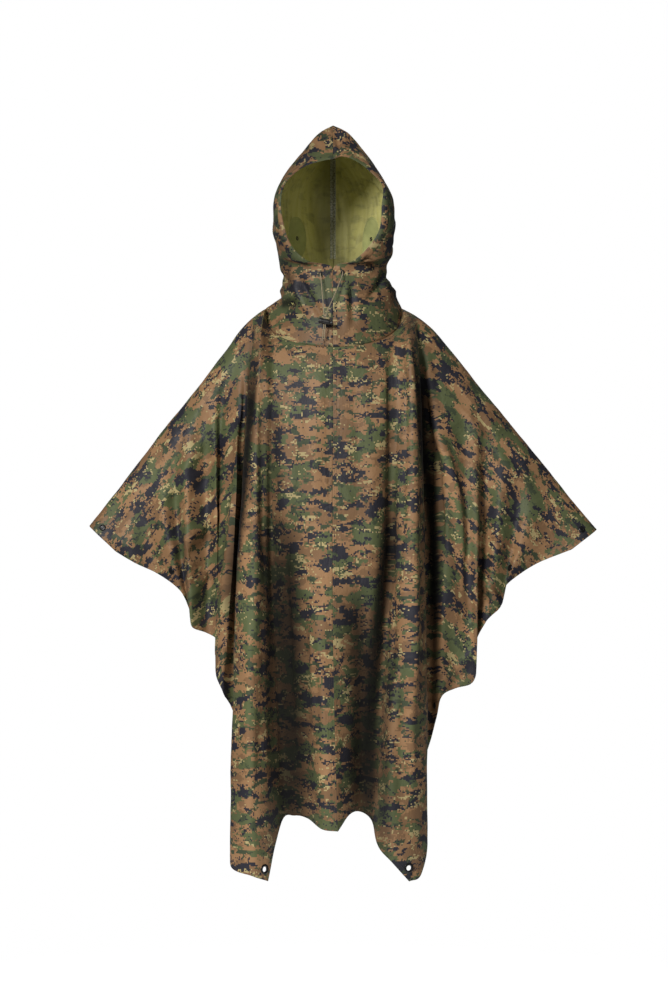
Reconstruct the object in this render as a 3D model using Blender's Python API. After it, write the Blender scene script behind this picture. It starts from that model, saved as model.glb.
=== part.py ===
"""Hooded rain poncho, filled out as if worn and empty inside.

Two body panels run from the front hem over the shoulder to the back hem and meet at a centre
seam. Two hood halves are sewn into their neck hole. Metres, +Z up, the front faces -Y, and the
origin is between the shoulders, where a wearer holds the poncho up.
"""
import math
from collections import namedtuple

import bpy
import numpy as np
from mathutils import Vector
from mathutils.bvhtree import BVHTree

# ---------------------------------------------------------------- driving sizes, in metres
WALL = 0.0015            # thickness of the coated cloth
SEAM_GAP = 0.0003        # space left between pieces that are sewn or pressed together
SEAM_DRIFT = 0.010       # how far the centre seam wanders sideways by the hem

NECK_FRONT = 0.120       # neck seam: reach to the front, to the back, and its heights
NECK_BACK = 0.095
NECK_TOP = 0.006
NECK_FRONT_DROP = 0.086
NECK_FRONT_ARC = 0.7     # below 1 the seam's low point at the front is wide and flat
NECK_BACK_RISE = 0.024
NECK_LEAN = 0.9          # upward share of the direction that the neck seam faces

SLEEVE_DEPTH = 0.046     # the cloth hangs this far in front of and behind the sleeve's ridge
CUFF_DEPTH = 0.030
SLEEVE_FALL = 0.060      # height of the rounded top of the sleeve
SLEEVE_FALL_SHARE = 0.45 # no more than this share of a line is rounded top
TOP_BULGE = 1.55         # how hard a line heads outwards, and down, as it leaves its top
TOP_DROP = 0.75
BEND_SHARE = 0.985       # length of the ridge's bend as a share of its two chords

NECK_KEYS = 6            # fold lines 0 to 6 start at the neck seam, the others on the ridge
CELLS_PER_KEY = (1, 1, 1, 1, 2, 2, 2, 2, 2, 2) + (1,) * 11
TOP_CELLS = 5
HANG_CELLS = 15

SNAP_RADIUS = 0.0066
SNAP_HEIGHT = 0.0022
SNAP_SIDES = 10
Ring = namedtuple("Ring", "hole radius lip sides")
GROMMET = Ring(hole=0.0055, radius=0.0105, lip=0.0011, sides=14)
EYELET = Ring(hole=0.0017, radius=0.0042, lip=0.0007, sides=10)
RING_BARREL = 0.0009     # wall of the tube that goes through the cloth
SEAT_RAY = (0.010, 0.030)        # a seat is looked for from this far outside, over this length
DISC_RAY = (0.007, 0.012)        # and so is the cloth round it, on both faces
DISC_SHARES = (0.25, 0.5, 0.75, 1.0)     # of the radius of the disc that is seated
DISC_SPOKES = 24

CORD_DIAMETER = 0.0022
CORD_SPACING = 0.0070    # between the points of a cord's centre line
LOCK_RADIUS = 0.0060
LOCK_LENGTH = 0.0290
LOCK_SIDES = 16
LOCK_EDGE = 0.0012       # rounding of the barrel's closed end
LOCK_REVEAL = 0.0010     # groove between the barrel and the plunger
PLUNGER_RISE = 0.0065    # how far the plunger's end stands out of the barrel
PLUNGER_EDGE = 0.0008
NARROW, GROOVE, TIP = 0.80, 0.92, 0.60       # shares of the lock's radius along its profile

# ---------------------------------------------------------------- tables of folds
# One row for each fold line of a sheet, from the centre seam outwards. Distances are outward
# from the centre plane. along: start on the shoulder ridge, from the neck seam. fall: height of
# the rounded top. The line then passes the hip point, half-way down, and ends on the edge.
Fold = namedtuple("Fold", "name along fall chest_x chest_y hip_x hip_y end_x end_y end_z")
# One row for each line that hangs from the sleeve's ridge and ends on the side edge.
Hang = namedtuple("Hang", "along end_x end_y end_z bow_x bow_y")

FRONT_LEFT = (
    Fold("centre", 0, .180, .000, -.165, .000, -.170, -SEAM_DRIFT, -.158, -1.072),
    Fold("swell", 0, .180, .037, -.166, .028, -.170, .022, -.154, -1.068),
    Fold("hollow_lip", 0, .180, .080, -.158, .060, -.153, .050, -.116, -1.051),
    Fold("hollow_wall", 0, .172, .108, -.150, .094, -.149, .080, -.096, -1.047),
    Fold("hollow", 0, .165, .124, -.138, .122, -.116, .106, -.090, -1.060),
    Fold("tube_inner", 0, .160, .137, -.148, .140, -.152, .133, -.145, -1.175),
    Fold("tube_crown", 0, .155, .155, -.143, .163, -.176, .165, -.166, -1.162),
    Fold("tube_edge", .014, .140, .171, -.113, .1995, -.142, .2095, -.130, -1.146),
    Fold("tube_back", .026, .120, .170, -.082, .192, -.097, .200, -.095, -1.085),
    Fold("deep_fold", .037, .100, .167, -.058, .176, -.048, .180, -.050, -.965),
    Fold("wing_root", .050, .080, .180, -.052, .201, -.058, .2075, -.035, -.838),
)
WING_FRONT_LEFT = (
    Hang(.067, .2277, -.060, -.796, -.004, -.040),
    Hang(.098, .2434, -.055, -.761, .004, -.016),
    Hang(.131, .2457, -.032, -.724, .004, .006),
    Hang(.166, .2409, -.045, -.688, -.004, -.016),
    Hang(.207, .2635, -.038, -.672, -.004, .004),
    Hang(.255, .2931, -.070, -.657, .002, -.022),
    Hang(.310, .2990, -.045, -.623, .006, .000),
    Hang(.370, .3191, -.055, -.582, .004, -.016),
    Hang(.439, .3674, -.037, -.548, .000, -.002),
    Hang(.511, .4130, -.045, -.526, .000, -.008),
    Hang(.590, .4530, -.035, -.5025, .000, .000),
)
FRONT_RIGHT = (
    Fold("centre", 0, .180, .000, -.165, .000, -.170, SEAM_DRIFT, -.158, -1.072),
    Fold("slope", 0, .180, .040, -.165, .030, -.163, .034, -.128, -1.041),
    Fold("hollow", 0, .180, .082, -.159, .081, -.154, .056, -.092, -1.039),
    Fold("hollow_wall", 0, .172, .115, -.147, .107, -.124, .080, -.104, -1.057),
    Fold("pleat", 0, .165, .134, -.128, .121, -.144, .092, -.140, -1.104),
    Fold("tube_front", 0, .160, .148, -.142, .144, -.167, .121, -.154, -1.136),
    Fold("tube_crown", 0, .155, .163, -.136, .167, -.160, .156, -.142, -1.176),
    Fold("tube_edge", .014, .140, .178, -.107, .187, -.130, .180, -.120, -1.165),
    Fold("tube_side", .026, .120, .179, -.078, .192, -.092, .1945, -.085, -1.096),
    Fold("deep_fold", .038, .100, .173, -.055, .172, -.048, .170, -.046, -1.000),
    Fold("wing_root", .055, .080, .187, -.048, .203, -.040, .200, -.020, -.911),
)
WING_FRONT_RIGHT = (
    Hang(.080, .2152, -.050, -.846, .004, -.030),
    Hang(.107, .2264, -.060, -.802, .004, -.040),
    Hang(.137, .2549, -.050, -.787, .000, -.034),
    Hang(.173, .2889, -.060, -.775, -.004, -.014),
    Hang(.216, .2985, -.065, -.738, .002, -.020),
    Hang(.266, .2932, -.032, -.703, .000, .004),
    Hang(.323, .3185, -.060, -.647, .002, -.014),
    Hang(.382, .3495, -.050, -.6155, .002, .000),
    Hang(.451, .3566, -.055, -.5764, .006, -.012),
    Hang(.535, .4217, -.037, -.5296, .002, .000),
    Hang(.6205, .4985, -.035, -.4975, .000, .000),
)
BACK_LEFT = (
    Fold("centre", 0, .170, .000, .125, .000, .132, -.004, .118, -1.030),
    Fold("swell", 0, .170, .040, .126, .036, .130, .034, .098, -1.022),
    Fold("ridge", 0, .170, .080, .121, .076, .139, .070, .134, -1.030),
    Fold("hollow_wall", 0, .165, .105, .112, .103, .122, .098, .094, -1.040),
    Fold("hollow", 0, .160, .122, .103, .126, .086, .118, .066, -1.055),
    Fold("tube_inner", 0, .155, .137, .108, .140, .122, .142, .118, -1.130),
    Fold("tube_crown", 0, .150, .154, .104, .161, .139, .163, .130, -1.118),
    Fold("tube_edge", .014, .135, .168, .086, .187, .118, .190, .108, -1.095),
    Fold("tube_back", .026, .115, .169, .066, .187, .086, .188, .080, -1.030),
    Fold("deep_fold", .037, .095, .167, .050, .167, .045, .170, .042, -.940),
    Fold("wing_root", .050, .080, .179, .043, .194, .020, .203, .018, -.825),
)
WING_BACK_LEFT = (
    Hang(.067, .222, .035, -.785, .000, -.008),
    Hang(.098, .236, .055, -.748, .004, .004),
    Hang(.131, .238, .045, -.712, .004, .004),
    Hang(.166, .240, .020, -.678, -.004, -.010),
    Hang(.207, .257, .025, -.660, -.004, -.008),
    Hang(.255, .284, .055, -.642, .002, .008),
    Hang(.310, .293, .060, -.610, .004, .012),
    Hang(.370, .315, .040, -.573, .004, .004),
    Hang(.439, .360, .035, -.541, .000, .000),
    Hang(.511, .406, .040, -.519, .000, .000),
    Hang(.590, .449, .032, -.4985, .000, .000),
)
BACK_RIGHT = (
    Fold("centre", 0, .170, .000, .125, .000, .132, .004, .118, -1.030),
    Fold("slope", 0, .170, .038, .124, .040, .124, .045, .112, -1.036),
    Fold("hollow", 0, .170, .078, .118, .074, .108, .068, .084, -1.030),
    Fold("hollow_wall", 0, .165, .106, .114, .096, .122, .088, .112, -1.040),
    Fold("ridge", 0, .160, .124, .108, .116, .141, .106, .138, -1.070),
    Fold("tube_inner", 0, .155, .140, .100, .138, .132, .130, .134, -1.096),
    Fold("tube_crown", 0, .150, .157, .100, .160, .134, .154, .126, -1.134),
    Fold("tube_edge", .014, .135, .172, .084, .181, .110, .176, .104, -1.112),
    Fold("tube_back", .026, .115, .174, .066, .183, .084, .184, .074, -1.040),
    Fold("deep_fold", .038, .095, .172, .052, .165, .046, .166, .040, -.960),
    Fold("wing_root", .055, .080, .185, .043, .193, .018, .192, .016, -.880),
)
WING_BACK_RIGHT = (
    Hang(.080, .208, .030, -.825, .004, -.006),
    Hang(.107, .222, .022, -.785, .004, -.010),
    Hang(.137, .248, .034, -.768, .000, -.004),
    Hang(.173, .279, .058, -.755, -.004, .008),
    Hang(.216, .289, .050, -.720, .002, .010),
    Hang(.266, .288, .022, -.688, .000, -.008),
    Hang(.323, .310, .046, -.636, .002, .000),
    Hang(.382, .341, .052, -.603, .002, .008),
    Hang(.451, .352, .038, -.566, .006, .004),
    Hang(.535, .416, .034, -.523, .002, .000),
    Hang(.6205, .489, .032, -.491, .000, .000),
)
SHEETS = {
    ("left", "front"): (FRONT_LEFT, WING_FRONT_LEFT),
    ("right", "front"): (FRONT_RIGHT, WING_FRONT_RIGHT),
    ("left", "back"): (BACK_LEFT, WING_BACK_LEFT),
    ("right", "back"): (BACK_RIGHT, WING_BACK_RIGHT),
}
# The shoulder ridge: x and z of its start at the neck, of its bend, of the bend's end, and cuff.
Ridge = namedtuple("Ridge", "neck_x bend_x bend_z end_x end_z cuff_x cuff_z")
RIDGES = {
    "left": Ridge(.141, .182, -.015, .2135, -.068, .512, -.451),
    "right": Ridge(.145, .192, -.015, .229, -.059, .5535, -.457),
}

# Sections of the hood, from the neck seam to the top seam: where each one starts, at the centre
# front or on the rim of the face opening, its widest point, and its end at the centre back.
Section = namedtuple("Section", "name rim_x rim_y rim_z wide_x wide_y wide_z back_y back_z")
HOOD_LEFT = (
    Section("collar", .000, -.114, -.038, .1085, -.004, .025, .104, .058),
    Section("neck", .000, -.108, .020, .1075, -.020, .056, .112, .090),
    Section("throat", .000, -.106, .083, .113, -.040, .098, .125, .122),
    Section("chin", .051, -.112, .097, .1165, -.056, .124, .138, .152),
    Section("jaw", .084, -.117, .127, .1205, -.068, .155, .149, .182),
    Section("cheek", .099, -.121, .164, .1235, -.076, .187, .156, .212),
    Section("temple", .1065, -.124, .209, .1225, -.080, .226, .157, .246),
    Section("brow_side", .1010, -.127, .247, .1110, -.082, .260, .149, .282),
    Section("brow", .0795, -.129, .275, .0895, -.084, .294, .129, .316),
    Section("crown_low", .0520, -.131, .292, .0625, -.084, .327, .094, .345),
    Section("crown", .0240, -.132, .300, .0315, -.078, .3625, .044, .368),
    Section("top_seam", .000, -.132, .304, .000, -.062, .3820, -.010, .381),
)
HOOD_RIGHT = (
    Section("collar", .000, -.114, -.038, .137, -.004, .020, .104, .058),
    Section("neck", .000, -.108, .020, .123, -.020, .052, .112, .090),
    Section("throat", .000, -.106, .083, .111, -.040, .090, .125, .122),
    Section("chin", .042, -.112, .098, .1240, -.056, .117, .138, .152),
    Section("jaw", .074, -.117, .127, .1260, -.068, .152, .149, .182),
    Section("cheek", .096, -.121, .164, .1275, -.076, .187, .156, .212),
    Section("temple", .1000, -.124, .209, .1255, -.080, .226, .157, .246),
    Section("brow_side", .1015, -.127, .249, .1110, -.082, .260, .149, .282),
    Section("brow", .0790, -.129, .276, .0900, -.084, .294, .129, .316),
    Section("crown_low", .0510, -.131, .298, .0635, -.084, .327, .094, .345),
    Section("crown", .0230, -.132, .309, .0320, -.078, .3625, .044, .368),
    Section("top_seam", .000, -.132, .304, .000, -.062, .3820, -.010, .381),
)
HOODS = {"left": HOOD_LEFT, "right": HOOD_RIGHT}
HOOD_CELLS = (2, 1, 2, 1, 1, 1, 1, 1, 1, 1, 1, 1)     # cells between one section and the next
HOOD_TAPER = 1.3         # 1 gives a round back of the head, more draws it in to the back seam

# Snaps lie near the side edge of each sheet: the fold number and level of each one's middle.
Snap = namedtuple("Snap", "number side face place level")
SNAPS = (
    Snap(1, "left", "front", 20.70, 0.70),
    Snap(2, "left", "front", 18.20, 1.86),
    Snap(3, "left", "front", 9.50, 1.96),
    Snap(1, "right", "front", 20.70, 0.70),
    Snap(2, "right", "front", 18.65, 1.76),
    Snap(3, "right", "front", 10.50, 1.93),
    Snap(1, "left", "back", 20.70, 0.70),
    Snap(2, "left", "back", 18.20, 1.86),
    Snap(3, "left", "back", 9.50, 1.96),
    Snap(1, "right", "back", 20.70, 0.70),
    Snap(2, "right", "back", 18.65, 1.76),
    Snap(3, "right", "back", 10.50, 1.93),
)
# A grommet goes through each lower corner of the cloth.
Corner = namedtuple("Corner", "side face place level")
CORNERS = (
    Corner("left", "front", 5.20, 1.977),
    Corner("right", "front", 5.95, 1.975),
    Corner("left", "back", 5.25, 1.975),
    Corner("right", "back", 5.95, 1.975),
)

# Drawcord: each strand leaves an eyelet at the throat, runs through the lock and ends free.
EYELETS = {"left": (-.026, .072), "right": (.020, .075)}         # x and z on the hood
THROAT_Y = -.105
# Each strand starts inside the hood: a share of its eyelet's x, then y, and height above it.
THROAT_ROUTE = ((1.0, -.098, 0.0), (1.0, -.108, 0.0), (.985, -.1125, -.005))
STRANDS = {
    "left": ((-.0245, -.1160, .058), (-.0215, -.1215, .025), (-.0190, -.1275, -.004),
             (-.0182, -.1300, -.022), (-.0186, -.1300, -.036), (-.0205, -.1285, -.052),
             (-.0222, -.1275, -.068)),
    "right": ((.0150, -.1170, .056), (.0040, -.1220, .028), (-.0085, -.1275, .000),
              (-.0154, -.1300, -.022), (-.0156, -.1300, -.036), (-.0168, -.1290, -.050),
              (-.0176, -.1280, -.064)),
}
LOCK_PLACE = (-.0145, -.1300, -.0290)
LOCK_TILT = math.radians(12)          # its right end hangs lower
LOCK_SLOT = (.0040, .0022)            # half length and half width of the cord hole
LOCK_SLOT_SHIFT = .0024               # the cord hole is left of the middle

PATCH_MIDDLE = (3.55, .742)           # hood section and turn at the middle of the patch
PATCH_REACH = (1.50, .058)
PATCH_RINGS = (.07, .55, 1.0)         # rings of points, as shares of the reach; a hole inside
PATCH_SPOKES = 20
PATCH_WALL = .0010
PATCH_RAY = (.030, .060)              # the hood is looked for from this far inside the patch
HEAD_MIDDLE_Y = -.020
TAPE_SHARE = .40                      # the tape covers this share of the cells at the seam
TAPE_WALL = .0008
CUTTER_SIDES = 14
CUTTER_REACH = .012                   # half length of the prism that cuts a hole

SIDE_SIGN = {"left": -1.0, "right": 1.0}
FACE_SIGN = {"front": -1.0, "back": 1.0}


# ---------------------------------------------------------------- scene helpers
def clear_scene():
    for old in list(bpy.data.objects):
        bpy.data.objects.remove(old, do_unlink=True)


def make_material(name, colour, roughness, metallic=0.0):
    material = bpy.data.materials.new(name)
    material.use_nodes = True
    shader = material.node_tree.nodes["Principled BSDF"]
    shader.inputs["Base Color"].default_value = (*colour, 1.0)
    shader.inputs["Roughness"].default_value = roughness
    shader.inputs["Metallic"].default_value = metallic
    return material


def add_object(name, data, material):
    data.materials.append(material)
    thing = bpy.data.objects.new(name, data)
    bpy.context.scene.collection.objects.link(thing)
    return thing


def add_mesh(name, points, faces, material, smooth=True):
    mesh = bpy.data.meshes.new(name)
    mesh.from_pydata([tuple(point) for point in points], [], [tuple(face) for face in faces])
    mesh.update()
    if smooth:
        mesh.shade_smooth()
        mesh.set_sharp_from_angle(angle=math.radians(50))
    return add_object(name, mesh, material)


# ---------------------------------------------------------------- smooth reading of tables
def through(values, place):
    """Catmull-Rom curve through the rows of values, read at the fractional row number place."""
    values = np.asarray(values, dtype=float)
    last = len(values) - 1
    start = min(int(math.floor(place)), last - 1)
    part = place - start
    one, two = values[start], values[start + 1]
    before = values[start - 1] if start > 0 else 2 * one - two
    after = values[start + 2] if start + 2 <= last else 2 * two - one
    return 0.5 * (2 * one + (two - before) * part
                  + (2 * before - 5 * one + 4 * two - after) * part ** 2
                  + (3 * one - before - 3 * two + after) * part ** 3)


def straight(values, place):
    """Broken line through the rows of values, read at the fractional row number place."""
    values = np.asarray(values, dtype=float)
    start = min(int(math.floor(place)), len(values) - 2)
    return values[start] + (values[start + 1] - values[start]) * (place - start)


# ---------------------------------------------------------------- neck seam and shoulder ridge
def neck_point(side, face, turn):
    """Point of the neck seam; turn is 0 at the centre seam and 1 at the shoulder."""
    angle = turn * math.pi / 2
    x = SIDE_SIGN[side] * RIDGES[side].neck_x * math.sin(angle)
    reach = max(math.cos(angle), 0.0)
    if face == "front":
        drop = NECK_FRONT_DROP * reach ** NECK_FRONT_ARC
        return np.array((x, -NECK_FRONT * reach, NECK_TOP - drop))
    return np.array((x, NECK_BACK * reach, NECK_TOP + NECK_BACK_RISE * reach))


def neck_directions(side, face, turn):
    """The way that the neck seam faces, and the way down across it onto the body."""
    angle = turn * math.pi / 2
    depth = NECK_FRONT if face == "front" else NECK_BACK
    flat = np.array((SIDE_SIGN[side] * math.sin(angle) / RIDGES[side].neck_x,
                     FACE_SIGN[face] * math.cos(angle) / depth, 0.0))
    if turn == 0:
        flat[0] = 0.0
    flat /= np.linalg.norm(flat)
    size = math.hypot(1.0, NECK_LEAN)
    up = np.array((0.0, 0.0, 1.0))
    return (flat + NECK_LEAN * up) / size, (NECK_LEAN * flat - up) / size


def ridge_point(side, along):
    """Point of the shoulder ridge at the distance along from the neck seam."""
    ridge = RIDGES[side]
    start = np.array((ridge.neck_x, 0.0, NECK_TOP))
    bend = np.array((ridge.bend_x, 0.0, ridge.bend_z))
    end = np.array((ridge.end_x, 0.0, ridge.end_z))
    cuff = np.array((ridge.cuff_x, 0.0, ridge.cuff_z))
    bend_length = (np.linalg.norm(bend - start) + np.linalg.norm(end - bend)) * BEND_SHARE
    if along <= bend_length:
        part = along / bend_length
        point = (1 - part) ** 2 * start + 2 * part * (1 - part) * bend + part ** 2 * end
    else:
        part = (along - bend_length) / np.linalg.norm(cuff - end)
        point = end + (cuff - end) * part
    return point * np.array((SIDE_SIGN[side], 1.0, 1.0))


# ---------------------------------------------------------------- hanging sheets
class Sheet:
    """One quarter of the poncho: the cloth of one side, in front or behind."""

    def __init__(self, side, face):
        self.side = side
        self.face = face
        folds, wing = SHEETS[side, face]
        sign = SIDE_SIGN[side]
        front = FACE_SIGN[face]
        self.along = [fold.along for fold in folds] + [line.along for line in wing]
        chest, hip, end = [], [], []
        for number, fold in enumerate(folds):
            top = self.top(number)
            chest.append((sign * fold.chest_x, fold.chest_y, top[2] - fold.fall))
            end.append((sign * fold.end_x, fold.end_y, fold.end_z))
            hip.append((sign * fold.hip_x, fold.hip_y, (chest[-1][2] + fold.end_z) / 2))
        for number, line in enumerate(wing):
            top = self.top(len(folds) + number)
            part = number / (len(wing) - 1)
            depth = SLEEVE_DEPTH + (CUFF_DEPTH - SLEEVE_DEPTH) * part ** 2
            fall = min(SLEEVE_FALL, SLEEVE_FALL_SHARE * (top[2] - line.end_z))
            share = fall / (top[2] - line.end_z)
            foot = np.array((sign * line.end_x, line.end_y, line.end_z))
            rim = np.array((top[0] + (foot[0] - top[0]) * share, front * depth, top[2] - fall))
            middle = (rim + foot) / 2 + np.array((sign * line.bow_x, line.bow_y, 0.0))
            chest.append(tuple(rim))
            hip.append(tuple(middle))
            end.append(tuple(foot))
        self.chest, self.hip, self.end = np.array(chest), np.array(hip), np.array(end)

    def top(self, place):
        """Where the fold line with this number starts."""
        if place <= NECK_KEYS:
            turn = place / NECK_KEYS
            down = neck_directions(self.side, self.face, turn)[1]
            return neck_point(self.side, self.face, turn) + SEAM_GAP * down
        return ridge_point(self.side, float(straight(self.along, place)))

    def point(self, place, level):
        """Point of the outer face: level 0 at the top, 1 at the chest and 2 at the edge."""
        top = self.top(place)
        chest = through(self.chest, place)
        hip = through(self.hip, place)
        end = through(self.end, place)
        end[2] = straight(self.end[:, 2], place)
        leave_chest = -3 * chest + 4 * hip - end
        if level <= 1:
            open_neck = math.cos(min(place / NECK_KEYS, 1.0) * math.pi / 2)
            leave_top = (chest - top) * np.array((open_neck, TOP_BULGE, TOP_DROP * open_neck))
            reach = np.linalg.norm(chest - top)
            arrive = leave_chest / np.linalg.norm(leave_chest) * reach
            s = level
            return ((2 * s ** 3 - 3 * s ** 2 + 1) * top + (s ** 3 - 2 * s ** 2 + s) * leave_top
                    + (3 * s ** 2 - 2 * s ** 3) * chest + (s ** 3 - s ** 2) * arrive)
        w = level - 1
        return (chest * (1 - w) * (1 - 2 * w) + hip * 4 * w * (1 - w) + end * w * (2 * w - 1))


def mesh_places():
    """Fold numbers, whole and fractional, at which a sheet has a column of vertices."""
    places = []
    for key, cells in enumerate(CELLS_PER_KEY):
        places.extend(key + step / cells for step in range(cells))
    return places + [len(CELLS_PER_KEY)]


def mesh_levels():
    top = [step / TOP_CELLS for step in range(TOP_CELLS)]
    return top + [1 + step / HANG_CELLS for step in range(HANG_CELLS + 1)]


# ---------------------------------------------------------------- cloth solids
def vertex_normals(points, quads):
    normals = np.zeros_like(points)
    for quad in quads:
        a, b, c, d = (points[index] for index in quad)
        area = np.cross(c - a, d - b)
        for index in quad:
            normals[index] += area
    return normals / np.linalg.norm(normals, axis=1)[:, None]


def split_quads(points, quads):
    """Each quad as two triangles along its shorter diagonal."""
    triangles = []
    for a, b, c, d in quads:
        if np.linalg.norm(points[a] - points[c]) <= np.linalg.norm(points[b] - points[d]):
            triangles += [(a, b, c), (a, c, d)]
        else:
            triangles += [(a, b, d), (b, c, d)]
    return triangles


def cloth_solid(name, points, quads, material, wall=WALL, facing=None):
    """Closed wall whose outer face has the given points. facing fixes some vertex normals."""
    points = np.array(points)
    normals = vertex_normals(points, quads)
    for index, normal in (facing or {}).items():
        normals[index] = normal
    count = len(points)
    outer = split_quads(points, quads)
    inner = [(c + count, b + count, a + count) for a, b, c in outer]
    used = {}
    for a, b, c in outer:
        for edge in ((a, b), (b, c), (c, a)):
            used[edge] = True
    rim = [edge for edge in used if (edge[1], edge[0]) not in used]
    walls = []
    for a, b in rim:
        walls += [(b, a, a + count), (b, a + count, b + count)]
    both = np.concatenate([points, points - normals * wall])
    return add_mesh(name, both, outer + inner + walls, material)


def seam_normal(normal):
    """A normal turned into the centre plane, so that the two sides meet face to face."""
    flat = np.array((0.0, normal[1], normal[2]))
    return flat / np.linalg.norm(flat)


# ---------------------------------------------------------------- body panels
def body_panel(side, material):
    places, levels = mesh_places(), mesh_levels()
    seam_shift = np.array((SIDE_SIGN[side] * SEAM_GAP / 2, 0.0, 0.0))
    points, number = [], {}
    for face in ("front", "back"):
        sheet = Sheet(side, face)
        for column, place in enumerate(places):
            for row, level in enumerate(levels):
                if face == "back" and row == 0 and place >= NECK_KEYS:
                    number[face, column, row] = number["front", column, row]
                    continue
                number[face, column, row] = len(points)
                shift = seam_shift if place == 0 else 0.0
                points.append(sheet.point(place, level) + shift)
    quads = []
    for face in ("front", "back"):
        for column in range(len(places) - 1):
            for row in range(len(levels) - 1):
                quad = [number[face, column, row], number[face, column, row + 1],
                        number[face, column + 1, row + 1], number[face, column + 1, row]]
                if (side == "left") == (face == "front"):
                    quad.reverse()
                quads.append(tuple(quad))
    normals = vertex_normals(np.array(points), quads)
    facing = {}
    for face in ("front", "back"):
        for row in range(len(levels)):
            index = number[face, 0, row]
            facing[index] = seam_normal(normals[index])
        for column, place in enumerate(places):
            if place <= NECK_KEYS:
                turn = place / NECK_KEYS
                facing[number[face, column, 0]] = neck_directions(side, face, turn)[0]
    return cloth_solid(f"body_panel_{side}", points, quads, material, facing=facing)


# ---------------------------------------------------------------- hood
def hood_point(side, section, turn):
    """Point of a hood section; turn runs from 0 at the front to 1 at the centre back."""
    rim_x, rim_y, rim_z, wide_x, wide_y, wide_z, back_y, back_z = section
    sign = SIDE_SIGN[side]
    rim_x = max(rim_x, 0.0)
    if turn <= 0.5:
        angle = turn * math.pi
        x = rim_x + (wide_x - rim_x) * math.sin(angle)
        y = wide_y + (rim_y - wide_y) * math.cos(angle)
        z = rim_z + (wide_z - rim_z) * (1 - math.cos(angle))
    else:
        angle = (turn - 0.5) * math.pi
        x = wide_x * max(math.cos(angle), 0.0) ** HOOD_TAPER
        y = wide_y + (back_y - wide_y) * math.sin(angle) ** HOOD_TAPER
        z = wide_z + (back_z - wide_z) * math.sin(angle)
    return np.array((sign * x, y, z))


def hood_turns():
    """Shares of the way round at which the hood has columns: those of the neck seam."""
    front = [place / NECK_KEYS / 2 for place in mesh_places() if place <= NECK_KEYS]
    return front + [1 - turn for turn in reversed(front[:-1])]


def hood_base(side, turn):
    face = "front" if turn <= 0.5 else "back"
    return neck_point(side, face, 2 * min(turn, 1 - turn)), face


def hood_half(side, material):
    turns = hood_turns()
    sections = [section[1:] for section in HOODS[side]]
    seam_shift = np.array((SIDE_SIGN[side] * SEAM_GAP / 2, 0.0, 0.0))
    rows = [None]
    for key, cells in enumerate(HOOD_CELLS):
        rows.extend(key + (step + 1) / cells for step in range(cells))
    points, number = [], {}
    for row, place in enumerate(rows):
        for column, turn in enumerate(turns):
            base = hood_base(side, turn)[0]
            if place is None:
                point = base
            elif place < 1:
                first = hood_point(side, sections[0], turn)
                point = base + (first - base) * place
            else:
                point = hood_point(side, through(sections, place - 1), turn)
            if turn in (0, 1) and abs(point[0]) < 1e-6 or row == len(rows) - 1:
                point = np.array((0.0, point[1], point[2])) + seam_shift
            number[row, column] = len(points)
            points.append(point)
    quads = []
    for row in range(len(rows) - 1):
        for column in range(len(turns) - 1):
            quad = [number[row, column], number[row, column + 1],
                    number[row + 1, column + 1], number[row + 1, column]]
            if side == "left":
                quad.reverse()
            quads.append(tuple(quad))
    normals = vertex_normals(np.array(points), quads)
    facing = {}
    for index, point in enumerate(points):
        if abs(point[0]) < SEAM_GAP:
            facing[index] = seam_normal(normals[index])
    for column, turn in enumerate(turns):
        face = hood_base(side, turn)[1]
        facing[number[0, column]] = neck_directions(side, face, 2 * min(turn, 1 - turn))[0]
    return cloth_solid(f"hood_{side}", points, quads, material, facing=facing)


# ---------------------------------------------------------------- pieces fastened to the cloth
class Surface:
    """The faceted cloth of one object, for seating small pieces on it."""

    def __init__(self, thing):
        points = [vertex.co.copy() for vertex in thing.data.vertices]
        faces = [tuple(polygon.vertices) for polygon in thing.data.polygons]
        self.tree = BVHTree.FromPolygons(points, faces)

    def frame(self, point, outward):
        """Seat on the outer face near the point: a place on it and the way it faces."""
        start, reach = SEAT_RAY
        hit, normal, _, _ = self.tree.ray_cast(point + outward * start, -outward, reach)
        return hit, normal

    def heights(self, place, normal, radius):
        """Highest outer and lowest inner face under a disc, measured along the normal."""
        side = normal.orthogonal().normalized()
        across = normal.cross(side)
        high, low = 0.0, -WALL
        start, reach = DISC_RAY
        for step in range(DISC_SPOKES):
            angle = 2 * math.pi * step / DISC_SPOKES
            for share in DISC_SHARES:
                ring = (side * math.cos(angle) + across * math.sin(angle)) * radius * share
                out = self.tree.ray_cast(place + ring + normal * start, -normal, reach)[0]
                back = self.tree.ray_cast(place + ring - normal * start, normal, reach)[0]
                if out is not None:
                    high = max(high, (out - place).dot(normal))
                if back is not None:
                    low = min(low, (back - place).dot(normal))
        return high, low


def turned(name, profile, place, normal, segments, material, ring=False):
    """Round piece from (radius, height) pairs, from its foot to its top; ring closes the loop."""
    side = normal.orthogonal().normalized()
    across = normal.cross(side)
    points, faces = [], []
    for radius, height in profile:
        for step in range(segments):
            angle = 2 * math.pi * step / segments
            spoke = side * math.cos(angle) + across * math.sin(angle)
            points.append(place + spoke * radius + normal * height)
    rows = len(profile)
    for row in range(rows if ring else rows - 1):
        one, two = row * segments, (row + 1) % rows * segments
        for step in range(segments):
            after = (step + 1) % segments
            faces.append((one + step, one + after, two + after, two + step))
    if not ring:
        faces.append(tuple(reversed(range(segments))))
        faces.append(tuple(range((rows - 1) * segments, rows * segments)))
    return add_mesh(name, points, faces, material)


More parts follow.
